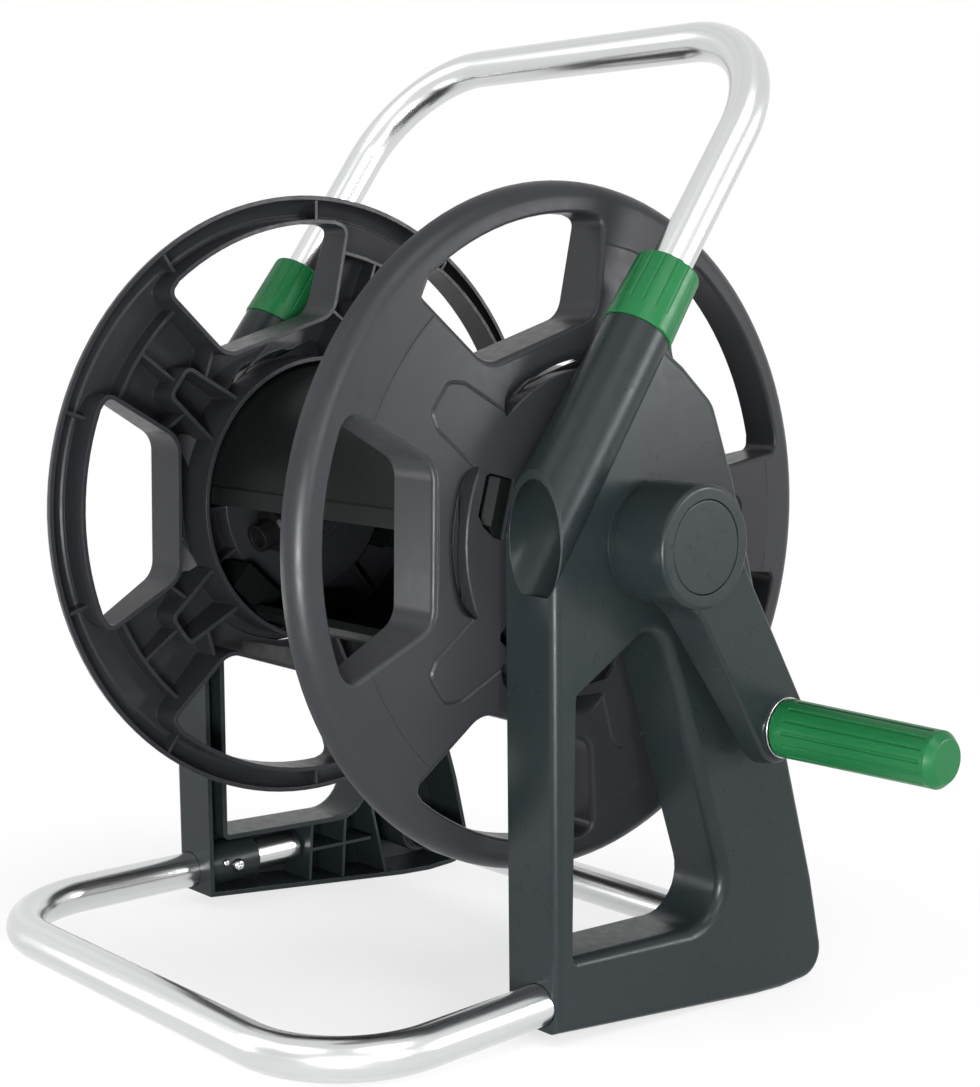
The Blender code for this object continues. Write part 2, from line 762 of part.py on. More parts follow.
def spoke_ribs(turn):
    """Rib from the box to the round wall, and one to each window corner."""
    far = SEAM_R - 0.5
    ribs = [local_wall(turn, [(BOX_END - 1, -1.0), (far, -1.0), (far, 1.0), (BOX_END - 1, 1.0)], FLANGE_LIP + 0.5)]
    for way in (-1, 1):
        points = [(108.0, 12.4 * way), (110.0, 12.2 * way), (115.6, 29.6 * way), (113.8, 30.4 * way)]
        ribs.append(local_wall(turn, points[::way], FLANGE_LIP - 1.5))
    return ribs


def rim_web(turn):
    low = WINDOW_RIM_R + 1.5
    high = FLANGE_R - 2.3
    points = [(low, -1.0), (high, -1.0), (high, 1.0), (low, 1.0)]
    return prism([polar(u, v, turn) for u, v in points], FLANGE_LIP + 0.8, FLANGE_LIP + 4.5)


def arc_solid(section, start, end, steps):
    """Closed section of (x, radius) pairs swept about the axle between two angles in degrees."""
    bm = bmesh.new()
    rows = []
    for k in range(steps + 1):
        t = start + (end - start) * k / steps
        rows.append([bm.verts.new((x, *polar(r, 0, t))) for x, r in section])
    count = len(section)
    for one, two in zip(rows, rows[1:]):
        for i in range(count):
            j = (i + 1) % count
            bm.faces.new((one[i], two[i], two[j], one[j]))
    bm.faces.new(rows[0])
    bm.faces.new(rows[-1])
    return to_object(bm, "arc")


def round_wall(turn):
    """Wall at the seam, across a spoke."""
    inner = SEAM_R - 1.5
    outer = SEAM_R + 0.7
    deep = face_x(SEAM_R) - FLANGE_T / 2
    section = [(FLANGE_LIP + 0.5, inner), (FLANGE_LIP + 0.5, outer), (deep, outer), (deep, inner)]
    return arc_solid(section, turn - 12.6, turn + 12.6, 3)


def recess(turn):
    """Crescent hollow in front of a window, sloping down to the central panel's edge."""
    top = FLANGE_PANEL + 3
    section = [(RECESS_FLOOR, PANEL_R), (face_x(RECESS_R) - 0.3, RECESS_R), (top, RECESS_R), (top, PANEL_R)]
    return arc_solid(section, turn - RECESS_HALF, turn + RECESS_HALF, 5)


def bulge(turn):
    """Inner side of a crescent hollow."""
    outer = RECESS_R + 1.5
    inner = RING_IN + 1.2
    middle = face_x(outer) - FLANGE_T / 2
    section = [(RECESS_FLOOR - 3.2, inner), (middle - 1.0, outer), (middle, outer), (middle, inner)]
    return arc_solid(section, turn - RECESS_HALF - 1.6, turn + RECESS_HALF + 1.6, 4)


def drum_flange(side, name, parent, at):
    """Smooth outside, open ribbed inside, five windows with deep walls."""
    skin = FLANGE_T
    bore = STUB_R + GAP
    hub = STUB_R + 4
    floor = FLANGE_PANEL - skin
    profile = [(floor, bore), (floor, hub), (DISC_X + skin, hub), (DISC_X + skin, DISC_R - 2.3),
               (FLANGE_PANEL, DISC_R - 2.3), (FLANGE_PANEL, PANEL_R), (FLANGE_FACE, SEAM_R),
               (SHOULDER_X, SHOULDER_R), (116.0, 179.0), (112.0, 182.6), (FLANGE_LIP, FLANGE_R),
               (FLANGE_LIP, FLANGE_R - skin), (111.0, 180.0), (114.0, 176.6), (118.0, 170.4),
               (FLANGE_FACE - skin, SEAM_R), (face_x(96.0) - skin, 96.0), (floor, PANEL_R),
               (WINDOW_LIP, PANEL_R), (WINDOW_LIP, RING_IN), (floor, RING_IN), (floor, DISC_R),
               (DISC_X, DISC_R), (DISC_X, hub), (STUB_IN, hub), (STUB_IN, bore)]
    body = turned(profile, 30, (0, 0, AXLE_Z))
    turns = [WINDOW_TURN + 360.0 / WINDOWS * k for k in range(WINDOWS)]
    spokes = [t + 180.0 / WINDOWS for t in turns]
    groups = [[into_skin(prism(window_outline(t, 2.5), WINDOW_LIP, FLANGE_FACE)) for t in turns],
              [spoke_box(t) for t in spokes], [round_wall(t) for t in spokes],
              [rib for t in spokes for rib in spoke_ribs(t)],
              [rim_web(t + d) for t in turns for d in (-18.4, 18.4)], [bulge(t) for t in turns]]
    for group in groups:
        body = combine(body, [join_tools(group)], "UNION")
    holes = [prism(window_outline(t), WINDOW_LIP - 8, FLANGE_PANEL + 6) for t in turns]
    slots = [prism(tab_outline(t, TAB_OUT, 0.5), 94.0, FLANGE_PANEL + 2) for t in UPPER_TABS + LOWER_TABS]
    body = combine(body, [join_tools(holes), join_tools([recess(t) for t in turns]),
                          join_tools(slots)], "DIFFERENCE")
    made = finish(mirrored_if_left(body, side), name, "drum_plastic", None, (0, 0, AXLE_Z))
    return settle(made, parent, at)


def axle_stub(side, name, parent, at):
    """Journal of the drum; the right one ends in the crank's hexagon, the left one has the water way."""
    profile = [(STUB_IN, 0.0), (STUB_IN, STUB_R), (FLANGE_PANEL, STUB_R), (FLANGE_PANEL, JOURNAL_R),
               (JOURNAL_END, JOURNAL_R), (JOURNAL_END, 0.0)]
    body = turned(profile, 24, (0, 0, AXLE_Z))
    if side > 0:
        spigot = turned([(JOURNAL_END - 2, 0.0), (JOURNAL_END - 2, HEX_R - GAP), (HEX_OUT, HEX_R - GAP),
                         (HEX_OUT, 0.0)], 6, (0, 0, AXLE_Z))
        body = combine(body, [spigot], "UNION")
        bores = [rod((STUB_IN - 2, 0, AXLE_Z), (HEX_OUT + 2, 0, AXLE_Z), 2.8)]
    else:
        bores = [rod((STUB_IN - 2, 0, AXLE_Z), (JOURNAL_END + 2, 0, AXLE_Z), LEFT_BORE_R),
                 rod((STUB_IN - 3, 0, AXLE_Z), (STUB_IN + 7, 0, AXLE_Z), LEFT_BORE_R + 1.4)]
    body = combine(body, bores, "DIFFERENCE")
    made = finish(mirrored_if_left(body, side), name, "drum_plastic", None, (0, 0, AXLE_Z))
    return settle(made, parent, at)


def shell_sector(start, end, r0, r1, x0, x1):
    steps = max(2, int(round((end - start) / 7.0)))
    outer = [polar(r1, 0, start + (end - start) * k / steps) for k in range(steps + 1)]
    inner = [polar(r0, 0, start + (end - start) * k / steps) for k in range(steps, -1, -1)]
    return prism(outer + inner, x0, x1)


def core_shell(name, limits, tabs, parent, at):
    """Half of the winding core, with a thicker lip at the hose opening and snap tabs."""
    body = shell_sector(limits[0], limits[1], CORE_R - CORE_T, CORE_R, -CORE_END, CORE_END)
    if name == "core_upper":
        band = (limits[1] - SHELL_LIP, limits[1] + 0.4)
    else:
        band = (limits[0] - 0.4, limits[0] + SHELL_LIP)
    reach = WINDOW_LIP - 1.5
    lip = shell_sector(band[0], band[1], CORE_R - CORE_T - 0.6, CORE_R + 2.2, -reach, reach)
    bases = []
    fingers = []
    for t in tabs:
        for side in (-1, 1):
            root, step, far = side * 104.0, side * 116.0, side * TAB_X
            bases.append(prism(tab_outline(t), min(root, step), max(root, step)))
            fingers.append(prism(tab_outline(t, TAB_STEP, -0.3), min(step - side, far), max(step - side, far)))
    body = combine(body, [lip, join_tools(bases), join_tools(fingers)], "UNION")
    made = finish(body, name, "core_plastic", None, (0, 0, AXLE_Z))
    return settle(made, parent, at)


def bearing_bush(side, name, root):
    inner = JOURNAL_R + GAP
    outer = BEARING_BORE_R - GAP
    profile = [(FRAME_IN - 2.0, inner), (FRAME_IN - 2.0, outer + 4), (FRAME_IN - GAP, outer + 4),
               (FRAME_IN - GAP, outer), (FRAME_OUT - 2, outer), (FRAME_OUT - 2, inner)]
    body = turned(profile, 24, (0, 0, AXLE_Z))
    return finish(mirrored_if_left(body, side), name, "bearing_plastic", root, (0, 0, AXLE_Z))


def arm_outline(radius, end_radius, steps=10):
    """Outline about the hub and the grip end, joined by their common tangents."""
    split = degrees(atan2(sqrt(CRANK_R ** 2 - (radius - end_radius) ** 2), radius - end_radius))
    points = []
    for k in range(steps + 1):
        a = CRANK_ANGLE + split + (360 - 2 * split) * k / steps
        points.append(polar(radius, 0, a))
    centre = polar(CRANK_R, 0, CRANK_ANGLE)
    for k in range(steps + 1):
        a = radians(CRANK_ANGLE - split + 2 * split * k / steps)
        points.append((centre[0] + end_radius * cos(a), centre[1] + end_radius * sin(a)))
    return points


def crank_arm(parent, at):
    """Hub with a hexagonal socket, and arm with a sloping face and a chamfered flank."""
    bm = bmesh.new()
    inner = arm_outline(HUB_R - 0.8, ARM_END_R)
    outer = arm_outline(HUB_R - 6.0, ARM_END_R - 6.0)
    way = Vector(polar(1.0, 0, CRANK_ANGLE)) - Vector(polar(0.0, 0, CRANK_ANGLE))

    def face_x(point, drop):
        along = (Vector(point) - Vector((0.0, AXLE_Z))).dot(way)
        t = max(along / CRANK_R, 0.0)
        return HUB_OUT - 1.0 + (ARM_OUT - HUB_OUT - 1.4) * t - drop

    back = [bm.verts.new((ARM_IN, p[0], p[1])) for p in inner]
    shoulder = [bm.verts.new((face_x(p, 7.0), p[0], p[1])) for p in inner]
    face = [bm.verts.new((face_x(p, 0.0), p[0], p[1])) for p in outer]
    count = len(back)
    bm.faces.new(back)
    for one, two in ((back, shoulder), (shoulder, face)):
        for i in range(count):
            j = (i + 1) % count
            bm.faces.new((one[i], two[i], two[j], one[j]))
    bm.faces.new(face)
    bmesh.ops.triangulate(bm, faces=[f for f in bm.faces if f.calc_center_median().x > ARM_IN + 0.1])
    arm = to_object(bm, "arm")
    hub_profile = [(HUB_IN, 0.0), (HUB_IN, HUB_R), (HUB_OUT - 1.5, HUB_R), (HUB_OUT, HUB_R - 1.5),
                   (HUB_OUT, 0.0)]
    hub = turned(hub_profile, 40, (0, 0, AXLE_Z))
    socket = turned([(HUB_IN - 2, 0.0), (HUB_IN - 2, HEX_R), (HEX_OUT + GAP, HEX_R), (HEX_OUT + GAP, 0.0)],
                    6, (0, 0, AXLE_Z))
    pin = polar(CRANK_R, 0, CRANK_ANGLE)
    seat = rod((ARM_IN + 4, pin[0], pin[1]), (ARM_OUT, pin[0], pin[1]), GRIP_R + 1.2, None, 40)
    body = combine(hub, [arm, seat], "UNION")
    pocket = [(HEX_OUT - 2, 0.0), (HEX_OUT - 2, 2.8), (HUB_OUT - 12.0, 2.8), (HUB_OUT - 12.0, 8.0),
              (HUB_OUT - CAP_T - GAP, 8.0), (HUB_OUT - CAP_T - GAP, CAP_R), (HUB_OUT + 3, CAP_R),
              (HUB_OUT + 3, 0.0)]
    pin_hole = rod((ARM_IN - 3, pin[0], pin[1]), (ARM_OUT + 12, pin[0], pin[1]), PIN_R - 1 + GAP)
    body = combine(body, [turned(pocket, 32, (0, 0, AXLE_Z)), socket, pin_hole], "DIFFERENCE")
    made = finish(body, "crank_arm", "frame_plastic", None, (0, 0, AXLE_Z))
    return settle(made, parent, at)


def crank_cap(parent, at):
    low = HUB_OUT - CAP_T
    r = CAP_R - GAP
    profile = [(low, 0.0), (low, r), (HUB_OUT - 0.6, r), (HUB_OUT, r - 0.7), (HUB_OUT, 0.0)]
    made = finish(turned(profile, 32, (0, 0, AXLE_Z)), "crank_cap", "frame_plastic", None, (0, 0, AXLE_Z))
    return settle(made, parent, at)


def crank_screw(parent, at):
    body = screw((HUB_OUT - 12.0 + GAP, 0, AXLE_Z), (-1, 0, 0), 7.0, 5.0, 2.5, 84.0)
    made = finish(body, "crank_screw", "steel", None, (0, 0, AXLE_Z))
    return settle(made, parent, at)


def grip_axis():
    y, z = polar(CRANK_R, 0, CRANK_ANGLE)
    return (0.0, y, z)


def grip(parent, at):
    """Green grip with lengthwise grooves, chamfered end, hollow over its pin."""
    length = GRIP_OUT - GRIP_IN
    profile = [(GRIP_IN, PIN_R + SLIP), (GRIP_IN, GRIP_R - 1.0), (GRIP_IN + 1.0, GRIP_R),
               (GRIP_OUT - 4.0, GRIP_END_R), (GRIP_OUT, GRIP_END_R - 3.5), (GRIP_OUT, 0.0),
               (GRIP_OUT - 12.0, 0.0), (GRIP_OUT - 12.0, PIN_R + 2.6), (GRIP_OUT - 17.0, PIN_R + 2.6),
               (GRIP_OUT - 17.0, PIN_R + SLIP)]
    body = turned(profile, 32, grip_axis())
    cutters = []
    for k in range(GRIP_GROOVES):
        a = 2 * pi * k / GRIP_GROOVES
        start = Vector(grip_axis()) + Vector((GRIP_IN + 8, cos(a) * GRIP_R * 1.045, sin(a) * GRIP_R * 1.045))
        end = Vector(grip_axis()) + Vector((GRIP_OUT - 7, cos(a) * GRIP_END_R * 1.05, sin(a) * GRIP_END_R * 1.05))
        cutters.append(rod(start, end, 1.3, None, 6))
    body = combine(body, [join_tools(cutters)], "DIFFERENCE")
    centre = (GRIP_IN + length / 2, grip_axis()[1], grip_axis()[2])
    made = finish(body, "grip", "green_plastic", None, centre)
    return settle(made, parent, at)


def grip_pin(parent, at):
    """Steel pin riveted in the arm, with a snap head inside the grip's end."""
    low = ARM_IN - 2.0
    small = PIN_R - 1
    profile = [(low, 0.0), (low, small + 2.0), (ARM_IN - GAP, small + 2.0), (ARM_IN - GAP, small),
               (ARM_OUT + 0.1, small), (ARM_OUT + 0.1, PIN_R), (GRIP_OUT - 16.6, PIN_R),
               (GRIP_OUT - 16.6, PIN_R + 2.0), (GRIP_OUT - 14.0, PIN_R + 2.0),
               (GRIP_OUT - 12.4, PIN_R), (GRIP_OUT - 12.4, 0.0)]
    axis = grip_axis()
    made = finish(turned(profile, 20, axis), "grip_pin", "steel", None, axis)
    return settle(made, parent, at)


def grip_washer(parent, at):
    low = ARM_OUT + GAP
    profile = [(low, PIN_R + GAP), (low, GRIP_R + 0.5), (GRIP_IN - GAP, GRIP_R + 0.5),
               (GRIP_IN - GAP, PIN_R + GAP)]
    axis = grip_axis()
    made = finish(turned(profile, 28, axis), "grip_washer", "steel", None, axis)
    return settle(made, parent, at)


def inlet_connector(root):
    """Tap connector fixed in the far frame, its spigot reaching into the drum's journal."""
    tip = FRAME_IN - 2.3
    plate = HUB_BOSS_X + GAP
    end = HUB_BOSS_X + INLET_REACH
    ring = INLET_SPIGOT_R
    groove = ring - 1.5
    back = FRAME_OUT - 4.0
    profile = [(tip, INLET_BORE), (tip, ring - 0.6), (tip + 0.6, ring)]
    for at in RING_PLACES:
        profile += [(at - 1.3, ring), (at - 1.3, groove), (at + 1.3, groove), (at + 1.3, ring)]
    profile += [(back, ring), (back, 16.0), (plate, 16.0), (plate, INLET_PLATE_R),
                (plate + 3.0, INLET_PLATE_R), (plate + 3.0, 11.0), (end - 16.0, 11.0), (end - 14.0, 8.6),
                (end - 9.0, 8.6), (end - 8.2, 9.8), (end - 6.0, 9.8), (end - 5.2, 7.8), (end, 7.8),
                (end, INLET_BORE)]
    body = mirrored_if_left(turned(profile, 16, (0, 0, AXLE_Z)), -1)
    return finish(body, "inlet_connector", "black_plastic", root, (0, 0, AXLE_Z))


def o_ring(place, name, root):
    profile = []
    for k in range(6):
        a = 2 * pi * k / 6
        profile.append((0.95 * cos(a) - place, 8.5 + 0.75 * sin(a)))
    return finish(turned(profile, 20, (0, 0, AXLE_Z)), name, "rubber", root, (0, 0, AXLE_Z))


def water_elbow(parent, at):
    """Elbow that turns with the drum and leads the water to the opening in the core."""
    turn = radians(ELBOW_TURN)
    out = Vector((0.0, cos(turn), sin(turn)))
    hub = Vector((0.0, 0.0, AXLE_Z))
    along = Vector((1.0, 0.0, 0.0))
    start = hub + along * -118.6
    corner = hub + along * ELBOW_X
    first = corner - along * ELBOW_BEND
    second = corner + out * ELBOW_BEND
    path = [start, first]
    path += [Vector(p) for p in arc_points(first + out * ELBOW_BEND, first, second, 6)]
    path += [second, hub + along * ELBOW_X + out * ELBOW_END]
    body = swept_tube(path, along.cross(out), ELBOW_R, INLET_BORE, 12)
    made = finish(body, "water_elbow", "black_plastic", None)
    return settle(made, parent, at)


def hose_nut(parent, at):
    turn = radians(ELBOW_TURN)
    out = (0.0, cos(turn), sin(turn))
    start = Vector((ELBOW_X, 0, AXLE_Z)) + Vector(out) * 34.0
    profile = [(0.0, ELBOW_R + GAP), (0.0, 14.0), (16.0, 14.0), (18.0, 12.5), (18.0, ELBOW_R + GAP)]
    made = finish(turned(profile, 12, start, out), "hose_nut", "black_plastic", None, sharp=20.0)
    return settle(made, parent, at)


def build():
    root = empty("reel")
    axle = (0.0, 0.0, AXLE_Z)
    pin = grip_axis()
    handle_at = tuple(on_handle(0, HANDLE_CROSS))
    drum = empty("drum_axis", axle, root)
    pin_empty = empty("grip_axis", [p - a for p, a in zip(pin, axle)], drum)
    slide = empty("handle_slide", handle_at, root)
    side_frame(1, "side_frame_right", root)
    side_frame(-1, "side_frame_left", root)
    handle_tube(slide, handle_at)
    for side, word in ((1, "right"), (-1, "left")):
        handle_plug(side, "handle_plug_" + word, slide, handle_at)
        handle_bush(side, "handle_bush_" + word, root)
        collar(side, "collar_" + word, root)
        foot_screw(side, "foot_screw_" + word, root)
        foot_pin(side, "foot_pin_" + word, root)
        rear_screw(side, "rear_screw_" + word, root)
        bearing_bush(side, "bearing_bush_" + word, root)
        drum_flange(side, "flange_" + word, drum, axle)
        axle_stub(side, "axle_stub_" + word, drum, axle)
    foot_tube(root)
    rear_tube(root)
    core_shell("core_upper", UPPER_SHELL, UPPER_TABS, drum, axle)
    core_shell("core_lower", LOWER_SHELL, LOWER_TABS, drum, axle)
    crank_arm(drum, axle)
    crank_cap(drum, axle)
    crank_screw(drum, axle)
    grip(pin_empty, pin)
    grip_washer(pin_empty, pin)
    grip_pin(drum, axle)
    inlet_connector(root)
    o_ring(RING_PLACES[0], "o_ring_inner", root)
    o_ring(RING_PLACES[1], "o_ring_outer", root)
    water_elbow(drum, axle)
    hose_nut(drum, axle)
    return root


def centre_on_floor(root):
    """Put the origin at the bottom centre of everything that was drawn."""
    bpy.context.view_layer.update()
    corners = [o.matrix_world @ v.co for o in bpy.data.objects if o.type == "MESH" for v in o.data.vertices]
    low = Vector([min(c[i] for c in corners) for i in range(3)])
    high = Vector([max(c[i] for c in corners) for i in range(3)])
    root.location = (-(low.x + high.x) / 2, -(low.y + high.y) / 2, -low.z)


centre_on_floor(build())
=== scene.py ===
"""Dressed scene of the free-standing hose reel.

Visible pieces are drawn again in millimetres, in the same drawing frame as the
part's source, with finer edges than its solids. Each replaces its CAD node and
rides on that node's body. Hidden nodes keep their CAD meshes.
"""

import json
from math import sin, cos, tan, radians, degrees, atan2, pi, sqrt, hypot

import bmesh
import bpy
from mathutils import Matrix, Vector


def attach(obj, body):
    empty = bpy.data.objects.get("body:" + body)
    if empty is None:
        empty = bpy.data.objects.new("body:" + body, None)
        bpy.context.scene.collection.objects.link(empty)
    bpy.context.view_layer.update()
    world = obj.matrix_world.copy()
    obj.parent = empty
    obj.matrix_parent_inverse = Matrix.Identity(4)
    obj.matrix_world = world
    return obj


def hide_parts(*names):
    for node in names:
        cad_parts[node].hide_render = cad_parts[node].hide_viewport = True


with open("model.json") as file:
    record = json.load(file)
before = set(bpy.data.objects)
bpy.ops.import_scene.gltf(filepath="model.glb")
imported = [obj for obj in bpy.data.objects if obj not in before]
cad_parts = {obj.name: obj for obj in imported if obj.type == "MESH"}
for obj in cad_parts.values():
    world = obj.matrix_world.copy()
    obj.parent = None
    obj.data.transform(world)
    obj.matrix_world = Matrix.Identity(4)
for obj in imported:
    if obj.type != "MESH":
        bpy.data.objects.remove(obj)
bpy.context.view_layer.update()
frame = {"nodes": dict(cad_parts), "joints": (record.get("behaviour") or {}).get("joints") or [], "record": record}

MM = 0.001

# GAP is the clearance between parts, CLEAR how far a cutter sticks out of what it cuts
GAP = 0.3
CLEAR = 5.0
AXLE_Z = 258.7
AXLE = Vector(next(j for j in frame["joints"] if j["name"] == "drum_spin")["pos_m"])
ORIGIN = AXLE - Vector((0.0, 0.0, AXLE_Z * MM))

# Side frames
FRAME_IN = 138.3
FRAME_OUT = 174.0
SKIN = 3.0
WALL = 3.0
LEG_FOOT = (-48.0, 7.0)
LEG_LEAN = 4.1
EDGE_ROUND = 5.0
BEARING_BORE_R = 20.0
BEARING_BOSS_R = 25.0
HUB_BOSS_R = 29.0
HUB_BOSS_X = 180.4
RIB_T = 2.0
LEG_RIB_REACH = 12.0
FRAME_LIP = 7.0
SCREW_HOLE_R = 2.2
PIN_HOLE_R = 1.9
PIN_LIFT = 3.0

# Tubes, handle and collars
TUBE_R = 11.0
TUBE_WALL = 1.4
SLEEVE_R = 13.2
HANDLE_X = 159.5
HANDLE_Y = -69.6
HANDLE_Z = 255.6
HANDLE_LEAN = 32.3
HANDLE_END = 96.0
HANDLE_CROSS = 325.7
HANDLE_BEND = 70.0
SOCKET_TOP = 128.0
SOCKET_TOP_R = 17.9
SOCKET_LOW_R = 20.8
SOCKET_BORE_R = 14.3
SOCKET_MOUTH_R = 19.6
SOCKET_FLOOR = -18.0
SOCKET_LOW = -60.0
MOUTH_END = 85.0
BORE_START = 60.0
MOUTH_BACK = 0.8
NECK_TOP = 151.0
NECK_R = 16.7
COLLAR_TOP = 168.0
COLLAR_BAND = 9.0
COLLAR_R = 18.9
COLLAR_TOP_R = 17.6
FLUTES = 16
FLUTE_R = 0.85
FLUTE_RISE = 1.25

# Foot and rear tube
FOOT_X = 160.5
FOOT_FLARE = 3.0
FOOT_CROSS_Y = -186.6
FOOT_LEG_Z = 20.4
FOOT_BEND = 60.0
FOOT_END_Y = 28.0
FOOT_MID_Y = -90.0
FOOT_MID_FLARE = 0.53
SLEEVE_END_Y = -5.0
SCREW_Y = -22.0
PIN_Y = -31.0
REAR_Y = 120.0
REAR_Z = 28.5

# Drum
FLANGE_R = 183.5
FLANGE_FACE = 124.0
FLANGE_PANEL = 132.8
FLANGE_LIP = 109.0
FLANGE_T = 2.8
SEAM_R = 152.0
SHOULDER_X = 120.6
SHOULDER_R = 172.0
PANEL_R = 87.0
RECESS_HALF = 25.8
BULGE_R = 98.0
RECESS_FLOOR = 123.5
RING_IN = 84.5
DISC_R = 59.5
DISC_X = 119.0
SPOKE_LIP = 109.5
BOX_LIP = 105.0
BOX_END = 125.0
BOX_HALF_IN = 15.8
BOX_HALF_OUT = 11.2
BOX_T = 2.2
ROUND_WALL_TURN = 12.6
ANNULUS_RIBS = (8.0, 60.0, 100.0, 140.0, 186.0, 212.0, 254.0, 312.0)
LOBE_TIP = 124.5
LOBE_HALVES = (17.0, 14.2, 9.0)
WINDOWS = 5
PITCH = 360.0 / WINDOWS
WINDOW_TURN = 182.6
WINDOW_RIM_R = 166.5
WINDOW_IN = 106.0
WINDOW_HALF_IN = 40.0
WINDOW_MID = 151.0
WINDOW_HALF = 65.4
WINDOW_LIP = 99.0
WINDOW_ROUND = 2.8
WINDOW_CORNER_IN = 14.0
WINDOW_CORNER_OUT = 10.5
RIM_STEPS = 16
RIM_WEB_TURN = 18.4
STUB_R = 24.0
STUB_IN = 112.0
CORE_R = 82.0
CORE_T = 2.5
CORE_END = 112.0
UPPER_SHELL = (9.5, 181.0)
LOWER_SHELL = (233.5, 368.9)
SHELL_LIP = 6.5
TAB_OUT = 79.8
TAB_IN = 62.0
TAB_HALF = 15.0
TAB_X = 131.4
TAB_STEP = 73.5
TAB_BASE = (104.0, 116.0)
TAB_CHAMFER = 4.0
UPPER_TABS = (168.0, 32.0)
LOWER_TABS = (231.0, 278.0, 345.0)

# Crank
HUB_R = 31.5
HUB_IN = 181.2
HUB_OUT = 214.0
CRANK_R = 132.2
CRANK_ANGLE = -49.4
ARM_HALF = 21.6
ARM_DRAFT = 1.4
ARM_FILLET = 34.0
ARM_IN = 186.0
ARM_OUT = 200.0
ARM_EDGE = 2.2
CAP_R = 24.0
CAP_T = 3.6
GRIP_IN = 201.6
GRIP_OUT = 304.0
GRIP_R = 16.0
GRIP_END_R = 15.0
GRIP_GROOVES = 14
GROOVE_R = 1.25
PIN_R = 5.0

# Sides of the round shapes, and steps of a tube's bend
TUBE_SIDES = 40
BEND_STEPS = 28
FRAME_SIDES = 72
COLLAR_SIDES = 96
FLANGE_SIDES = 120
HUB_SIDES = 96
CAP_SIDES = 80
GRIP_SIDES = 112

# Looks: noise scales per metre, depths in metres
CLOUD_SCALE = 11.0
SHEEN_SCALE = 160.0
SPARK_SCALE = 1500.0
SPARK_DEPTH = 0.00012
STREAK_DEPTH = 0.00005


# Materials

def node(tree, kind, **sockets):
    made = tree.nodes.new(kind)
    for name, value in sockets.items():
        made.inputs[name.replace("_", " ")].default_value = value
    return made


def noise(tree, place, scale, detail=3.0, rough=0.55):
    made = node(tree, "ShaderNodeTexNoise", Scale=scale, Detail=detail, Roughness=rough)
    tree.links.new(place, made.inputs["Vector"])
    return made.outputs["Fac"]


def span(tree, value, low, high, to_low, to_high):
    """Value mapped from one range to another, clamped."""
    made = tree.nodes.new("ShaderNodeMapRange")
    sockets = ("From Min", "From Max", "To Min", "To Max")
    for socket, number in zip(sockets, (low, high, to_low, to_high)):
        made.inputs[socket].default_value = number
    tree.links.new(value, made.inputs["Value"])
    return made.outputs["Result"]


def blend_colour(tree, amount, first, second):
    made = tree.nodes.new("ShaderNodeMix")
    made.data_type = "RGBA"
    tree.links.new(amount, made.inputs["Factor"])
    for socket, colour in ((made.inputs[6], first), (made.inputs[7], second)):
        if isinstance(colour, tuple):
            socket.default_value = (*colour, 1.0)
        else:
            tree.links.new(colour, socket)
    return made.outputs[2]


def bump(tree, height, strength, distance, normal=None):
    made = node(tree, "ShaderNodeBump", Strength=strength, Distance=distance)
    tree.links.new(height, made.inputs["Height"])
    if normal is not None:
        tree.links.new(normal, made.inputs["Normal"])
    return made.outputs["Normal"]


def start_material(name):
    made = bpy.data.materials.new(name)
    made.use_nodes = True
    tree = made.node_tree
    return made, tree, tree.nodes["Principled BSDF"]


def plastic(name, colour, rough, specular=0.4, grain=0.05, edge=0.0007, edge_highlight=0.35):
    """Moulded plastic: fine spark grain, mottled sheen, rounded edges painted lighter as a highlight."""
    made, tree, shader = start_material(name)
    place = tree.nodes.new("ShaderNodeTexCoord").outputs["Object"]
    round_edge = tree.nodes.new("ShaderNodeBevel")
    round_edge.samples = 4
    round_edge.inputs["Radius"].default_value = edge
    flat = tree.nodes.new("ShaderNodeNewGeometry").outputs["Normal"]
    facing = tree.nodes.new("ShaderNodeVectorMath")
    facing.operation = "DOT_PRODUCT"
    tree.links.new(round_edge.outputs["Normal"], facing.inputs[0])
    tree.links.new(flat, facing.inputs[1])
    # Painted highlight: the base colour turns lighter along rounded edges, found from the bevelled normal
    edges = span(tree, facing.outputs["Value"], 0.985, 0.8, 0.0, edge_highlight)
    edge_highlight_colour = tuple(min(1.0, c * 1.9 + 0.006) for c in colour)
    darker = tuple(c * 0.82 for c in colour)
    cloud = span(tree, noise(tree, place, CLOUD_SCALE, 4.0), 0.3, 0.7, 0.0, 1.0)
    base = blend_colour(tree, cloud, darker, colour)
    tree.links.new(blend_colour(tree, edges, base, edge_highlight_colour), shader.inputs["Base Color"])
    sheen = noise(tree, place, SHEEN_SCALE, 3.0)
    sheen = span(tree, sheen, 0.3, 0.7, rough - 0.05, rough + 0.06)
    tree.links.new(sheen, shader.inputs["Roughness"])
    shader.inputs["Specular IOR Level"].default_value = specular
    spark = noise(tree, place, SPARK_SCALE, 2.0)
    rough_face = bump(tree, spark, grain, SPARK_DEPTH, round_edge.outputs["Normal"])
    tree.links.new(rough_face, shader.inputs["Normal"])
    return made


def around_tube(tree, place):
    """Length and turn of a tube, the turn folded so that it meets itself without a seam."""
    apart = tree.nodes.new("ShaderNodeSeparateXYZ")
    fold = tree.nodes.new("ShaderNodeMath")
    fold.operation = "PINGPONG"
    fold.inputs[1].default_value = 0.5
    together = tree.nodes.new("ShaderNodeCombineXYZ")
    tree.links.new(place, apart.inputs[0])
    tree.links.new(apart.outputs["Y"], fold.inputs[0])
    tree.links.new(apart.outputs["X"], together.inputs["X"])
    tree.links.new(fold.outputs[0], together.inputs["Y"])
    return together.outputs[0]


def stretched(tree, place, scale):
    made = node(tree, "ShaderNodeMapping", Scale=scale)
    tree.links.new(place, made.inputs["Vector"])
    return made.outputs["Vector"]


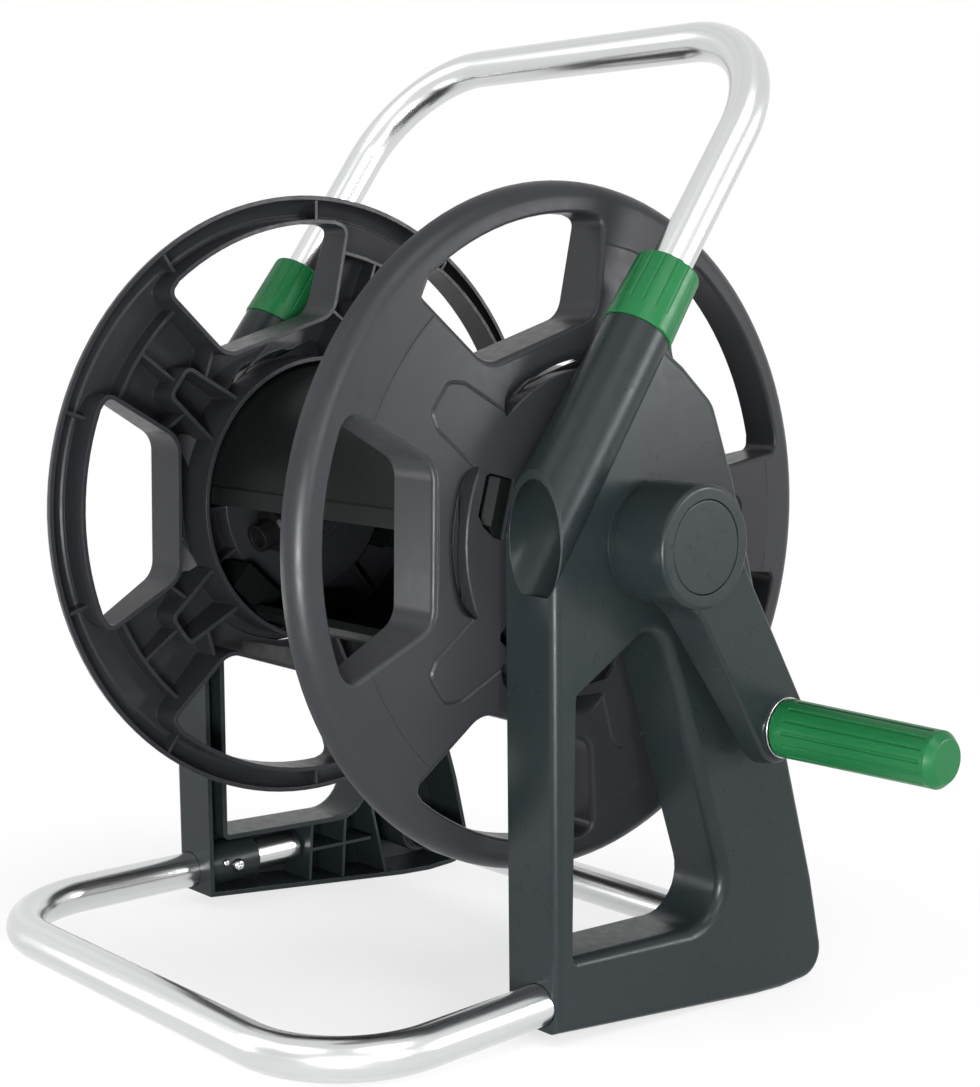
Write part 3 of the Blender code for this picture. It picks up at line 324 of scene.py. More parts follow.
def drawn_metal(name, colour, rough, streaks, lengthwise):
    """Drawn or turned metal: streaks along the tube, darker bands painted along a tube as reflections, random
    darker patches on turned metal, faint scuffs.
    """
    made, tree, shader = start_material(name)
    coordinates = tree.nodes.new("ShaderNodeTexCoord")
    if lengthwise:
        place = around_tube(tree, coordinates.outputs["UV"])
        lines = noise(tree, stretched(tree, place, (3.0, 90.0, 1.0)), 1.0, 5.0, 0.65)
        reflection_and_tone_bands = noise(tree, stretched(tree, place, (1.2, 9.0, 1.0)), 1.0, 2.0)
    else:
        lines = noise(tree, coordinates.outputs["Object"], 300.0, 5.0, 0.65)
        reflection_and_tone_bands = noise(tree, coordinates.outputs["Object"], 24.0, 3.0)
    # Painted reflection: on a tube, soft darker bands along its length stand in for dark reflections; on turned
    # metal they are random darker patches
    darker = tuple(c * 0.84 for c in colour)
    base = blend_colour(tree, span(tree, reflection_and_tone_bands, 0.35, 0.62, 0.0, 1.0), darker, colour)
    tree.links.new(base, shader.inputs["Base Color"])
    sheen = span(tree, lines, 0.3, 0.7, rough - 0.05, rough + 0.07)
    tree.links.new(sheen, shader.inputs["Roughness"])
    shader.inputs["Metallic"].default_value = 1.0
    tree.links.new(bump(tree, lines, streaks, STREAK_DEPTH), shader.inputs["Normal"])
    return made


LOOKS = {
    "frame_plastic": plastic("frame_plastic_look", (0.0115, 0.0155, 0.0168), 0.31, 0.17),
    "drum_plastic": plastic("drum_plastic_look", (0.0175, 0.0182, 0.0205), 0.34, 0.17),
    "core_plastic": plastic("core_plastic_look", (0.0032, 0.0046, 0.0043), 0.4, 0.1),
    "green_plastic": plastic("green_plastic_look", (0.0075, 0.092, 0.028), 0.32, 0.18,
                             edge=0.0005, edge_highlight=0.25),
    "aluminium": drawn_metal("aluminium_look", (0.70, 0.705, 0.71), 0.22, 0.05, True),
    "steel": drawn_metal("steel_look", (0.62, 0.63, 0.64), 0.26, 0.08, False),
    "bearing_plastic": plastic("bearing_plastic_look", (0.50, 0.50, 0.47), 0.45, grain=0.1),
    "black_plastic": plastic("black_plastic_look", (0.005, 0.005, 0.0055), 0.42, 0.15),
    "rubber": plastic("rubber_look", (0.012, 0.012, 0.012), 0.75, 0.3, 0.3),
}


# Mesh helpers, in millimetres

def to_object(bm, name):
    bmesh.ops.remove_doubles(bm, verts=bm.verts, dist=0.001)
    bmesh.ops.recalc_face_normals(bm, faces=bm.faces)
    mesh = bpy.data.meshes.new(name)
    bm.to_mesh(mesh)
    bm.free()
    made = bpy.data.objects.new(name, mesh)
    bpy.context.scene.collection.objects.link(made)
    return made


def combine(body, tools, operation):
    for tool in tools:
        step = body.modifiers.new("step", "BOOLEAN")
        step.operation = operation
        step.solver = "EXACT"
        step.object = tool
        view = bpy.context.evaluated_depsgraph_get()
        mesh = bpy.data.meshes.new_from_object(body.evaluated_get(view))
        body.modifiers.clear()
        body.data = mesh
        bpy.data.objects.remove(tool, do_unlink=True)
    return body


def join_tools(tools):
    bm = bmesh.new()
    for tool in tools:
        bm.from_mesh(tool.data)
        bpy.data.objects.remove(tool, do_unlink=True)
    mesh = bpy.data.meshes.new("tools")
    bm.to_mesh(mesh)
    bm.free()
    made = bpy.data.objects.new("tools", mesh)
    bpy.context.scene.collection.objects.link(made)
    return made


def finish(obj, name, body, look, nodes=(), sharp=32.0):
    """Move a drawn piece to the row frame, give it its look and let it ride on its body."""
    obj.name = name
    obj.data.name = name
    bm = bmesh.new()
    bm.from_mesh(obj.data)
    bmesh.ops.remove_doubles(bm, verts=bm.verts, dist=0.01)
    bmesh.ops.dissolve_degenerate(bm, edges=bm.edges, dist=0.01)
    bmesh.ops.scale(bm, vec=(MM, MM, MM), verts=bm.verts)
    bmesh.ops.translate(bm, vec=ORIGIN, verts=bm.verts)
    bm.to_mesh(obj.data)
    bm.free()
    obj.data.materials.clear()
    obj.data.materials.append(LOOKS[look])
    for face in obj.data.polygons:
        face.use_smooth = True
    obj.data.set_sharp_from_angle(angle=radians(sharp))
    even = obj.modifiers.new("even_normals", "WEIGHTED_NORMAL")
    even.keep_sharp = True
    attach(obj, body)
    if nodes:
        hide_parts(*nodes)
    return obj


def rounded(points, radii, steps=8):
    """Corners of a closed outline replaced by arcs of the given radii."""
    out = []
    count = len(points)
    for i in range(count):
        here = Vector(points[i])
        back = Vector(points[i - 1]) - here
        ahead = Vector(points[(i + 1) % count]) - here
        if radii[i] <= 0:
            out.append((here.x, here.y))
            continue
        u = back.normalized()
        v = ahead.normalized()
        half = u.angle(v) / 2
        run = min(radii[i] / tan(half), back.length * 0.49, ahead.length * 0.49)
        radius = run * tan(half)
        centre = here + (u + v).normalized() * (radius / sin(half))
        start = here + u * run
        end = here + v * run
        a0 = atan2(start.y - centre.y, start.x - centre.x)
        a1 = atan2(end.y - centre.y, end.x - centre.x)
        turn = (a1 - a0 + pi) % (2 * pi) - pi
        for k in range(steps + 1):
            a = a0 + turn * k / steps
            out.append((centre.x + radius * cos(a), centre.y + radius * sin(a)))
    return out


def inset(points, distance):
    """Closed counter-clockwise outline moved inwards; distance is a number or one per point."""
    out = []
    count = len(points)
    for i in range(count):
        here = Vector(points[i])
        into = (here - Vector(points[i - 1])).normalized()
        away = (Vector(points[(i + 1) % count]) - here).normalized()
        both = Vector((-into.y, into.x)) + Vector((-away.y, away.x))
        scale = 2.0 / max(both.length_squared, 0.35)
        far = distance[i] if isinstance(distance, list) else distance
        moved = here + both * (far * scale)
        out.append((moved.x, moved.y))
    return out


def loft(sections):
    """Solid through outlines in Y and Z that have the same number of points, at rising X."""
    bm = bmesh.new()
    rings = []
    for x, outline in sections:
        depth = x if isinstance(x, list) else [x] * len(outline)
        rings.append([bm.verts.new((d, p[0], p[1])) for d, p in zip(depth, outline)])
    count = len(rings[0])
    for one, two in zip(rings, rings[1:]):
        for i in range(count):
            j = (i + 1) % count
            bm.faces.new((one[i], two[i], two[j], one[j]))
    bm.faces.new(rings[0])
    bm.faces.new(rings[-1])
    return to_object(bm, "loft")


def prism(points, x0, x1):
    return loft([(x0, points), (x1, points)])


def turned(profile, segments, at, axis=(1.0, 0.0, 0.0)):
    """Profile of (along, radius) pairs turned about an axis; ends on the axis are flat."""
    bm = bmesh.new()
    turn = Vector((1, 0, 0)).rotation_difference(Vector(axis)).to_matrix().to_4x4()
    place = Matrix.Translation(Vector(at)) @ turn
    rings = []
    for along, radius in profile:
        ring = []
        for k in range(segments if radius > 0 else 0):
            a = 2 * pi * k / segments
            ring.append(bm.verts.new(place @ Vector((along, radius * cos(a), radius * sin(a)))))
        rings.append(ring)
    count = len(rings)
    for i in range(count):
        one = rings[i]
        two = rings[(i + 1) % count]
        if one and two:
            for k in range(segments):
                m = (k + 1) % segments
                bm.faces.new((one[k], one[m], two[m], two[k]))
        elif one or two:
            bm.faces.new(one or two)
    return to_object(bm, "turned")


def rod(start, end, r0, r1=None, segments=48):
    r1 = r0 if r1 is None else r1
    way = Vector(end) - Vector(start)
    profile = [(0.0, 0.0), (0.0, r0), (way.length, r1), (way.length, 0.0)]
    return turned(profile, segments, start, way.normalized())


def strip(start, end, width, x0, x1):
    a = Vector(start)
    b = Vector(end)
    side = Vector((-(b - a).y, (b - a).x)).normalized() * (width / 2)
    return prism([tuple(a - side), tuple(b - side), tuple(b + side), tuple(a + side)], x0, x1)


def polar(radius, across, degrees_turn):
    a = radians(degrees_turn)
    return (radius * cos(a) - across * sin(a), radius * sin(a) + across * cos(a) + AXLE_Z)


def arc_points(centre, start, end, steps):
    c = Vector(centre)
    u = Vector(start) - c
    w = Vector(end) - c
    angle = u.angle(w)
    out = []
    for k in range(1, steps):
        t = k / steps
        out.append(c + (u * sin((1 - t) * angle) + w * sin(t * angle)) / sin(angle))
    return out


def swept_tube(path, across):
    """Hollow tube along a flat path, with its length and turn kept as texture coordinates."""
    bm = bmesh.new()
    lay = bm.loops.layers.uv.new("UVMap")
    normal = Vector(across).normalized()
    segments = TUBE_SIDES
    loops = []
    run = 0.0
    for i, point in enumerate(path):
        here = Vector(point)
        first = here - Vector(path[max(i - 1, 0)])
        second = Vector(path[min(i + 1, len(path) - 1)]) - here
        run += first.length * MM
        ahead = (first.normalized() + second.normalized()).normalized()
        side = ahead.cross(normal).normalized()
        lanes = []
        for radius in (TUBE_R, TUBE_R - TUBE_WALL):
            lane = []
            for k in range(segments):
                a = 2 * pi * k / segments
                lane.append(bm.verts.new(here + (side * cos(a) + normal * sin(a)) * radius))
            lanes.append(lane)
        loops.append((run, lanes))
    for (u0, one), (u1, two) in zip(loops, loops[1:]):
        for lane in (0, 1):
            for k in range(segments):
                m = (k + 1) % segments
                face = bm.faces.new((one[lane][k], one[lane][m], two[lane][m], two[lane][k]))
                v0 = k / segments
                v1 = (k + 1) / segments
                for loop, uv in zip(face.loops, ((u0, v0), (u0, v1), (u1, v1), (u1, v0))):
                    loop[lay].uv = uv
    for _, lanes in (loops[0], loops[-1]):
        for k in range(segments):
            m = (k + 1) % segments
            bm.faces.new((lanes[0][k], lanes[0][m], lanes[1][m], lanes[1][k]))
    return to_object(bm, "tube")


def mirrored_if_left(obj, side):
    if side < 0:
        bm = bmesh.new()
        bm.from_mesh(obj.data)
        bmesh.ops.scale(bm, vec=(-1, 1, 1), verts=bm.verts)
        bmesh.ops.reverse_faces(bm, faces=bm.faces)
        bm.to_mesh(obj.data)
        bm.free()
    return obj


def quarter(radius, steps):
    """Pairs of depth and inset along a rounded edge, from the flank to the face."""
    out = []
    for k in range(steps + 1):
        a = pi / 2 * k / steps
        out.append((radius * (1 - sin(a)), radius * (1 - cos(a))))
    return out


# Side frames

LEAN = Vector((0.0, sin(radians(HANDLE_LEAN)), cos(radians(HANDLE_LEAN))))
BACK = Vector((0.0, cos(radians(HANDLE_LEAN)), -sin(radians(HANDLE_LEAN))))


def on_handle(side, along, x=HANDLE_X):
    return Vector((side * x, HANDLE_Y, HANDLE_Z)) + LEAN * along


def leg_y(z):
    return LEG_FOOT[0] - (z - LEG_FOOT[1]) * tan(radians(LEG_LEAN))


def foot_z(y):
    slope = (FOOT_LEG_Z - TUBE_R) / (LEG_FOOT[0] - FOOT_CROSS_Y)
    return TUBE_R + (y - FOOT_CROSS_Y) * slope


def foot_point(side, y):
    return Vector((side * FOOT_X, y, foot_z(y)))


MOUTH_Z = 261.0
MOUTH = (leg_y(MOUTH_Z), MOUTH_Z)
NECK_POINT = on_handle(1, SOCKET_TOP - 2.0)
NECK_BACK = on_handle(1, SOCKET_TOP - 1.5) + BACK * 15.0
FRAME_OUTLINE = rounded(
    [LEG_FOOT, (106.0, 0.0), (130.0, 0.0), (168.5, 4.0), (151.0, 62.0), (66.0, 288.0),
     (46.0, 330.0), (22.0, 348.0), (NECK_BACK.y, NECK_BACK.z), (NECK_POINT.y, NECK_POINT.z), MOUTH],
    [0.0, 0.0, 0.0, 20.0, 60.0, 40.0, 20.0, 10.0, 0.0, 0.0, 0.0], 8)
FRAME_WINDOW = rounded([(-37.1, 45.0), (83.7, 47.5), (13.8, 214.7), (-45.6, 181.5)],
                       [2.0, 23.0, 13.0, 4.0], 10)
FOOT_RIBS = (((31.0, 4.0), (31.0, 45.0)), ((58.0, 3.0), (58.0, 47.0)),
             ((31.0, 26.0), (80.0, 28.0)), ((78.0, 56.0), (94.0, 3.0)))
LEG_RIBS = (72.0, 104.0, 136.0, 168.0)
HUB_RIBS = {75.0: 92.0, 35.0: 72.0, 350.0: 82.0, 155.0: 66.0, 215.0: 70.0, 262.0: 54.0}


def frame_solid():
    """Plate with its outer edge rounded by a full quarter circle."""
    sections = [(FRAME_IN, FRAME_OUTLINE)]
    for depth, shrink in quarter(EDGE_ROUND, 6):
        sections.append((FRAME_OUT - depth, inset(FRAME_OUTLINE, shrink)))
    return loft(sections)


def frame_ribs():
    x0 = FRAME_IN + 3
    x1 = FRAME_OUT - SKIN + 0.6
    ribs = [strip(a, b, RIB_T, x0, x1) for a, b in FOOT_RIBS]
    for z in LEG_RIBS:
        front = leg_y(z) + WALL - 1
        end = (front + LEG_RIB_REACH, z + 1)
        ribs.append(strip((front, z), end, RIB_T, FRAME_IN + LEG_RIB_REACH, x1))
    for a, reach in HUB_RIBS.items():
        ribs.append(strip(polar(BEARING_BOSS_R - 2, 0, a), polar(reach, 0, a), RIB_T, x0, x1))
    return ribs


def frame_pocket():
    deep = FRAME_OUT - SKIN
    hollow = prism(inset(FRAME_OUTLINE, WALL), FRAME_IN - 2, deep)
    collar_wall = prism(inset(FRAME_WINDOW, -WALL), FRAME_IN - 4, deep + 1)
    boss = rod((FRAME_IN - 4, 0, AXLE_Z), (deep + 1, 0, AXLE_Z), BEARING_BOSS_R)
    sleeve = rod(foot_point(1, LEG_FOOT[0]), foot_point(1, SLEEVE_END_Y), SLEEVE_R)
    cup = rod((FRAME_IN + 1.5, REAR_Y, REAR_Z), (deep + 0.8, REAR_Y, REAR_Z), SLEEVE_R + 0.6)
    return combine(hollow, [collar_wall, boss, sleeve, cup] + frame_ribs(), "DIFFERENCE")


def window_cutter():
    """Frame window whose outer lip is rounded, except along the leg."""
    leg_side = -44.0
    fade = 14.0
    weights = [min(max((p[0] - leg_side) / fade, 0.12), 1.0) for p in FRAME_WINDOW]
    sections = [(FRAME_IN - CLEAR, FRAME_WINDOW)]
    for depth, grow in quarter(FRAME_LIP, 6):
        sections.append((FRAME_OUT - depth, inset(FRAME_WINDOW, [-grow * w for w in weights])))
    sections.append((FRAME_OUT + CLEAR, inset(FRAME_WINDOW, [-FRAME_LIP * w for w in weights])))
    return loft(sections)


def socket_outside():
    """Socket and its neck, cut off flush with the front of the leg."""
    body = rod(on_handle(1, SOCKET_LOW), on_handle(1, SOCKET_TOP), SOCKET_LOW_R + 0.6,
               SOCKET_TOP_R, FRAME_SIDES)
    neck = rod(on_handle(1, SOCKET_TOP - 4), on_handle(1, NECK_TOP), NECK_R, None, FRAME_SIDES)
    body = combine(body, [neck], "UNION")
    low = -60.0
    high = 420.0
    deep = 140.0
    front = [(leg_y(low) - deep, low), (leg_y(low), low), (leg_y(high), high),
             (leg_y(high) - deep, high)]
    return combine(body, [prism(front, -250, 250)], "DIFFERENCE")


def side_frame(side, word):
    body = combine(frame_solid(), [frame_pocket()], "DIFFERENCE")
    low = FRAME_OUT - 1.5
    profile = [(low, 0.0), (low, HUB_BOSS_R), (HUB_BOSS_X - 1.2, HUB_BOSS_R),
               (HUB_BOSS_X - 0.3, HUB_BOSS_R - 0.4), (HUB_BOSS_X, HUB_BOSS_R - 1.2),
               (HUB_BOSS_X, 0.0)]
    raised = turned(profile, FRAME_SIDES, (0, 0, AXLE_Z))
    body = combine(body, [raised, socket_outside()], "UNION")
    mouth = rod(on_handle(1, SOCKET_FLOOR) + BACK * MOUTH_BACK, on_handle(1, MOUTH_END),
                SOCKET_MOUTH_R, SOCKET_BORE_R - 0.1, FRAME_SIDES)
    guide = rod(on_handle(1, BORE_START), on_handle(1, NECK_TOP + CLEAR), SOCKET_BORE_R, None,
                FRAME_SIDES)
    bore = combine(mouth, [guide], "UNION")
    bearing = rod((FRAME_IN - CLEAR, 0, AXLE_Z), (HUB_BOSS_X + CLEAR, 0, AXLE_Z), BEARING_BORE_R)
    foot = rod(foot_point(1, LEG_FOOT[0] - 8), foot_point(1, FOOT_END_Y + 1.0), TUBE_R + GAP)
    rear = rod((FRAME_IN - 4, REAR_Y, REAR_Z), (FRAME_OUT - SKIN - 1.0, REAR_Y, REAR_Z),
               TUBE_R + GAP)
    body = combine(body, [window_cutter(), bore, bearing, foot, rear], "DIFFERENCE")
    for y, r, lift in ((SCREW_Y, SCREW_HOLE_R, 0.0), (PIN_Y, PIN_HOLE_R, PIN_LIFT)):
        z = foot_z(y) + lift
        body = combine(body, [rod((FRAME_IN - 4, y, z), (FOOT_X, y, z), r, None, 20)], "DIFFERENCE")
    finish(mirrored_if_left(body, side), "side_frame_moulding_" + word, "frame", "frame_plastic",
           ["side_frame_" + word])


# Handle, collars and tubes

def handle_tube():
    low = HANDLE_END
    bend = HANDLE_CROSS - HANDLE_BEND
    corner = HANDLE_X - HANDLE_BEND
    left = [on_handle(-1, low + (bend - low) * k / 6) for k in range(7)]
    end = on_handle(-1, HANDLE_CROSS, corner)
    left += arc_points(on_handle(-1, bend, corner), left[-1], end, BEND_STEPS)
    left += [end, end + Vector((corner / 2, 0, 0))]
    right = [Vector((-p.x, p.y, p.z)) for p in reversed(left)]
    body = swept_tube(left + right, BACK)
    finish(body, "handle_bent_tube", "handle", "aluminium", ["handle_tube"])


def foot_tube():
    low = foot_z(FOOT_CROSS_Y)
    wide = FOOT_X + FOOT_FLARE
    left = [foot_point(-1, FOOT_END_Y), foot_point(-1, 0.0), foot_point(-1, LEG_FOOT[0] - 4)]
    left.append(foot_point(-1, FOOT_MID_Y) - Vector((FOOT_FLARE * FOOT_MID_FLARE, 0, 0)))
    left.append(foot_point(-1, FOOT_CROSS_Y + FOOT_BEND) - Vector((FOOT_FLARE, 0, 0)))
    end = Vector((-wide + FOOT_BEND, FOOT_CROSS_Y, low))
    centre = (-wide + FOOT_BEND, left[-1].y, left[-1].z)
    left += arc_points(centre, left[-1], end, BEND_STEPS)
    left += [end, Vector((end.x / 2, FOOT_CROSS_Y, low))]
    right = [Vector((-p.x, p.y, p.z)) for p in reversed(left)]
    run = (foot_point(1, 0.0) - foot_point(1, -100.0)).normalized()
    body = swept_tube(left + right, run.cross(Vector((1, 0, 0))))
    finish(body, "foot_bent_tube", "frame", "aluminium", ["foot_tube"])


def rear_tube():
    reach = FRAME_OUT - SKIN - 1.0 - GAP
    places = [(-reach + 2 * reach * k / 4, REAR_Y, REAR_Z) for k in range(5)]
    body = swept_tube(places, (0, 0, 1))
    finish(body, "rear_cross_tube", "frame", "aluminium", ["rear_tube"])


def collar(side, word):
    """Green twist collar: smooth band, narrow flutes above it, chamfered top."""
    low = SOCKET_TOP + GAP
    height = COLLAR_TOP - low
    inner = NECK_R + GAP
    profile = [(0.0, inner), (0.0, COLLAR_R - 0.7), (0.3, COLLAR_R - 0.2), (0.9, COLLAR_R),
               (COLLAR_BAND, COLLAR_R - 0.3), (height - 1.6, COLLAR_TOP_R + 0.1),
               (height - 0.4, COLLAR_TOP_R - 0.5), (height, COLLAR_TOP_R - 1.3),
               (height, TUBE_R + 0.4), (height - 5.0, TUBE_R + 2.1), (NECK_TOP + 1.2 - low, inner)]
    body = turned(profile, COLLAR_SIDES, on_handle(side, low), LEAN)
    cutters = []
    for k in range(FLUTES):
        a = 2 * pi * (k + 0.5) / FLUTES
        way = Vector((1, 0, 0)) * cos(a) + BACK * sin(a)
        reach = COLLAR_R + 0.1
        start = on_handle(side, low + COLLAR_BAND + 0.5) + way * reach
        end = on_handle(side, COLLAR_TOP + 2) + way * (reach - FLUTE_RISE)
        cutters.append(rod(start, end, FLUTE_R, None, 12))
    body = combine(body, [join_tools(cutters)], "DIFFERENCE")
    finish(body, "collar_fluted_" + word, "collar_" + word, "green_plastic", ["collar_" + word])


def foot_fasteners(side, word):
    """Pan-head screw with a cross slot, and the small bright pin before it."""
    x = FOOT_X - SLEEVE_R - GAP
    z = foot_z(SCREW_Y)
    profile = [(-2.6, 0.0), (-2.6, 1.9), (-2.3, 2.9), (-1.5, 3.7), (-0.5, 4.2), (0.0, 4.2),
               (0.0, 1.9), (9.5, 1.9), (11.0, 0.8), (11.0, 0.0)]
    body = turned(profile, 32, (x, SCREW_Y, z))
    bars = []
    for half in ((1.9, 0.45), (0.45, 1.9)):
        outline = [(SCREW_Y - half[0], z - half[1]), (SCREW_Y + half[0], z - half[1]),
                   (SCREW_Y + half[0], z + half[1]), (SCREW_Y - half[0], z + half[1])]
        bars.append(prism(outline, x - 3.5, x - 1.4))
    body = combine(body, bars, "DIFFERENCE")
    finish(mirrored_if_left(body, side), "foot_cross_screw_" + word, "frame", "steel",
           ["foot_screw_" + word])
    profile = [(-1.2, 0.0), (-1.2, 0.9), (-0.9, 1.7), (-0.3, 2.2), (0.0, 2.3), (0.0, 1.6),
               (9.0, 1.6), (9.0, 0.0)]
    pin = turned(profile, 24, (x + 0.3, PIN_Y, foot_z(PIN_Y) + PIN_LIFT))
    finish(mirrored_if_left(pin, side), "foot_round_pin_" + word, "frame", "steel",
           ["foot_pin_" + word])


# Drum

def window_outline(turn, grow=0.0):
    limit = atan2(WINDOW_HALF, WINDOW_MID)
    points = [(WINDOW_IN, -WINDOW_HALF_IN), (WINDOW_MID, -WINDOW_HALF)]
    for k in range(1, RIM_STEPS):
        a = -limit + 2 * limit * k / RIM_STEPS
        points.append((WINDOW_RIM_R * cos(a), WINDOW_RIM_R * sin(a)))
    points += [(WINDOW_MID, WINDOW_HALF), (WINDOW_IN, WINDOW_HALF_IN)]
    corners = [WINDOW_CORNER_IN, WINDOW_CORNER_OUT]
    outline = rounded(points, corners + [0.0] * (RIM_STEPS - 1) + corners[::-1], 8)
    if grow:
        outline = inset(outline, -grow)
    return [polar(u, v, turn) for u, v in outline]


def face_x(radius):
    """Outside of the flange: a cone from the panel to the seam, then a shallower one."""
    if radius > SEAM_R:
        return FLANGE_FACE - (FLANGE_FACE - SHOULDER_X) * (radius - SEAM_R) / (SHOULDER_R - SEAM_R)
    return FLANGE_FACE + (FLANGE_PANEL - FLANGE_FACE) * (SEAM_R - radius) / (SEAM_R - PANEL_R)


def on_face(outline, drop=0.0):
    return [face_x(max(hypot(y, z - AXLE_Z), PANEL_R)) - drop for y, z in outline]


def flange_window(turn):
    """Window cutter with a rounded lip where it leaves the outer face."""
    plain = window_outline(turn)
    sections = [(WINDOW_LIP - 8, plain)]
    for depth, grow in quarter(WINDOW_ROUND, 4):
        outline = window_outline(turn, grow)
        sections.append((on_face(plain, depth), outline))
    sections.append((FLANGE_PANEL + 6, window_outline(turn, WINDOW_ROUND)))
    return loft(sections)


def into_skin(wall):
    for vertex in wall.data.vertices:
        if vertex.co.x > FLANGE_LIP + 2:
            vertex.co.x = face_x(hypot(vertex.co.y, vertex.co.z - AXLE_Z)) - FLANGE_T / 2
    return wall


def tab_outline(turn, far=TAB_OUT):
    points = [(TAB_IN, -TAB_HALF), (far, -TAB_HALF), (far, TAB_HALF - 5.0),
              (TAB_IN + 5.0, TAB_HALF), (TAB_IN, TAB_HALF)]
    return [polar(u, v, turn) for u, v in points]


def tab_slot(turn):
    points = [(61.2, -15.8), (78.0, -15.8), (80.4, -13.8), (80.4, 6.5), (75.6, 11.5),
              (67.0, 15.6), (61.2, 15.6)]
    return prism([polar(u, v, turn) for u, v in points], 94.0, FLANGE_PANEL + 2)


def local_wall(turn, points, x0):
    """Wall that stands on the inside of the skin, drawn along and across a spoke."""
    return into_skin(prism([polar(u, v, turn) for u, v in points], x0, FLANGE_FACE))


def spoke_box(turn):
    """Tapered box on a spoke, open towards the ring wall."""
    low = PANEL_R - 1.0
    end = BOX_END - BOX_T
    wide = BOX_HALF_IN - BOX_T
    narrow = BOX_HALF_OUT - BOX_T
    points = rounded([(low, -BOX_HALF_IN), (BOX_END, -BOX_HALF_OUT), (BOX_END, BOX_HALF_OUT),
                      (low, BOX_HALF_IN), (low, wide), (end, narrow), (end, -narrow), (low, -wide)],
                     [0, 5.5, 5.5, 0, 0, 3.6, 3.6, 0], 6)
    return local_wall(turn, points, BOX_LIP)


def spoke_ribs(turn):
    """Rib from the box to the round wall, and one to each window corner."""
    ribs = [local_wall(turn, [(BOX_END - 1.0, -1.0), (SEAM_R - 0.5, -1.0), (SEAM_R - 0.5, 1.0),
                              (BOX_END - 1.0, 1.0)], SPOKE_LIP)]
    for way in (-1, 1):
        points = [(108.0, 12.6 * way), (110.0, 12.4 * way), (115.6, 29.6 * way),
                  (113.8, 30.4 * way)]
        ribs.append(local_wall(turn, points if way > 0 else points[::-1], SPOKE_LIP - 2.0))
    return ribs


def round_wall(turn):
    return into_skin(shell_sector(turn - ROUND_WALL_TURN, turn + ROUND_WALL_TURN, SEAM_R - 1.5,
                                  SEAM_R + 0.7, SPOKE_LIP, FLANGE_FACE))


def rim_web(turn):
    low = WINDOW_RIM_R + 1.5
    high = FLANGE_R - 2.2
    points = [(low, -1.0), (high, -1.0), (high, 1.0), (low, 1.0)]
    web = prism([polar(u, v, turn) for u, v in points], FLANGE_LIP + 0.8, FLANGE_LIP + 2.0)
    for vertex in web.data.vertices:
        if vertex.co.x > FLANGE_LIP + 1.4:
            near = hypot(vertex.co.y, vertex.co.z - AXLE_Z) < (low + high) / 2
            vertex.co.x = 119.6 if near else 114.4
    return web


def annulus_rib(turn):
    low = DISC_R - 1.0
    high = RING_IN + 1.0
    points = [(low, -0.9), (high, -0.9), (high, 0.9), (low, 0.9)]
    return prism([polar(u, v, turn) for u, v in points], DISC_X + 0.4, FLANGE_PANEL - 1.4)


RECESS_SECTION = ((9.3, -0.1), (9.2, 0.4), (1.7, 7.4), (0.9, 8.4), (0.35, 9.6), (-0.1, 11.0),
                  (-5.0, 11.0), (-5.0, -0.1))


def recess(turn):
    """Bay beside the panel: deepest along the panel's edge, rising to a soft outer rim."""
    steps = 30
    sections = []
    for k in range(steps + 1):
        s = 2.0 * k / steps - 1.0
        full = max(1.0 - abs(s) ** 10, 0.2)
        radii = [PANEL_R + reach * full for depth, reach in RECESS_SECTION]
        depths = [face_x(r) - depth for r, (depth, reach) in zip(radii, RECESS_SECTION)]
        sections.append((depths, [polar(r, 0, turn + RECESS_HALF * s) for r in radii]))
    return loft(sections)


def bulge(turn):
    """Inside of a bay."""
    steps = 28
    inner = RING_IN + 1.2
    deep = RECESS_FLOOR - 3.2
    near = face_x(BULGE_R) - FLANGE_T + 0.9
    half = RECESS_HALF + 1.8
    shape = [1.0 - abs(2.0 * k / steps - 1.0) ** 22 for k in range(steps + 1)]
    turns = [turn - half + 2 * half * k / steps for k in range(steps + 1)]
    outline = [polar(inner + (BULGE_R - inner) * m, 0, t) for t, m in zip(turns, shape)]
    outline += [polar(inner - 0.1, 0, t) for t in reversed(turns)]
    slope = [deep + (near - deep) * m for m in shape] + [deep] * (steps + 1)
    other = [face_x(BULGE_R) - 1.4] * (steps + 1) + [FLANGE_PANEL - 1.4] * (steps + 1)
    return loft([(slope, outline), (other, outline)])


def panel_outline(grow=0.0):
    """Central panel with a rounded lobe on each spoke."""
    low = PANEL_R + 1.0
    root, middle, tip = LOBE_HALVES
    lobe = ((low, -root, 5.0), (LOBE_TIP - 8.0, -middle, 7.0), (LOBE_TIP, -tip, 6.0),
            (LOBE_TIP, tip, 6.0), (LOBE_TIP - 8.0, middle, 7.0), (low, root, 5.0))
    edge = degrees(atan2(root, low)) + 2.5
    steps = 8
    points = []
    radii = []
    for k in range(WINDOWS):
        spoke = WINDOW_TURN + PITCH / 2 + PITCH * k
        for radius, across, corner in lobe:
            points.append(polar(radius, across, spoke))
            radii.append(corner)
        for m in range(steps + 1):
            points.append(polar(PANEL_R, 0, spoke + edge + (PITCH - 2 * edge) * m / steps))
            radii.append(0.0)
    outline = rounded(points, radii, 5)
    return inset(outline, -grow) if grow else outline


def seam_ring():
    """Groove with slanting sides round the central panel."""
    half = 0.95
    deep = 1.0
    above = 2.0
    spread = half * (deep + above) / deep
    bm = bmesh.new()
    rings = []
    for grow, lift in ((spread, above), (0.12, -deep), (-0.12, -deep), (-spread, above)):
        ring = []
        for (y, z), (ym, zm) in zip(panel_outline(grow), panel_outline()):
            radius = max(hypot(ym, zm - AXLE_Z), PANEL_R)
            ring.append(bm.verts.new((face_x(radius) + lift, y, z)))
        rings.append(ring)
    count = len(rings[0])
    for one, two in zip(rings, rings[1:] + rings[:1]):
        for i in range(count):
            j = (i + 1) % count
            bm.faces.new((one[i], two[i], two[j], one[j]))
    return to_object(bm, "seam")


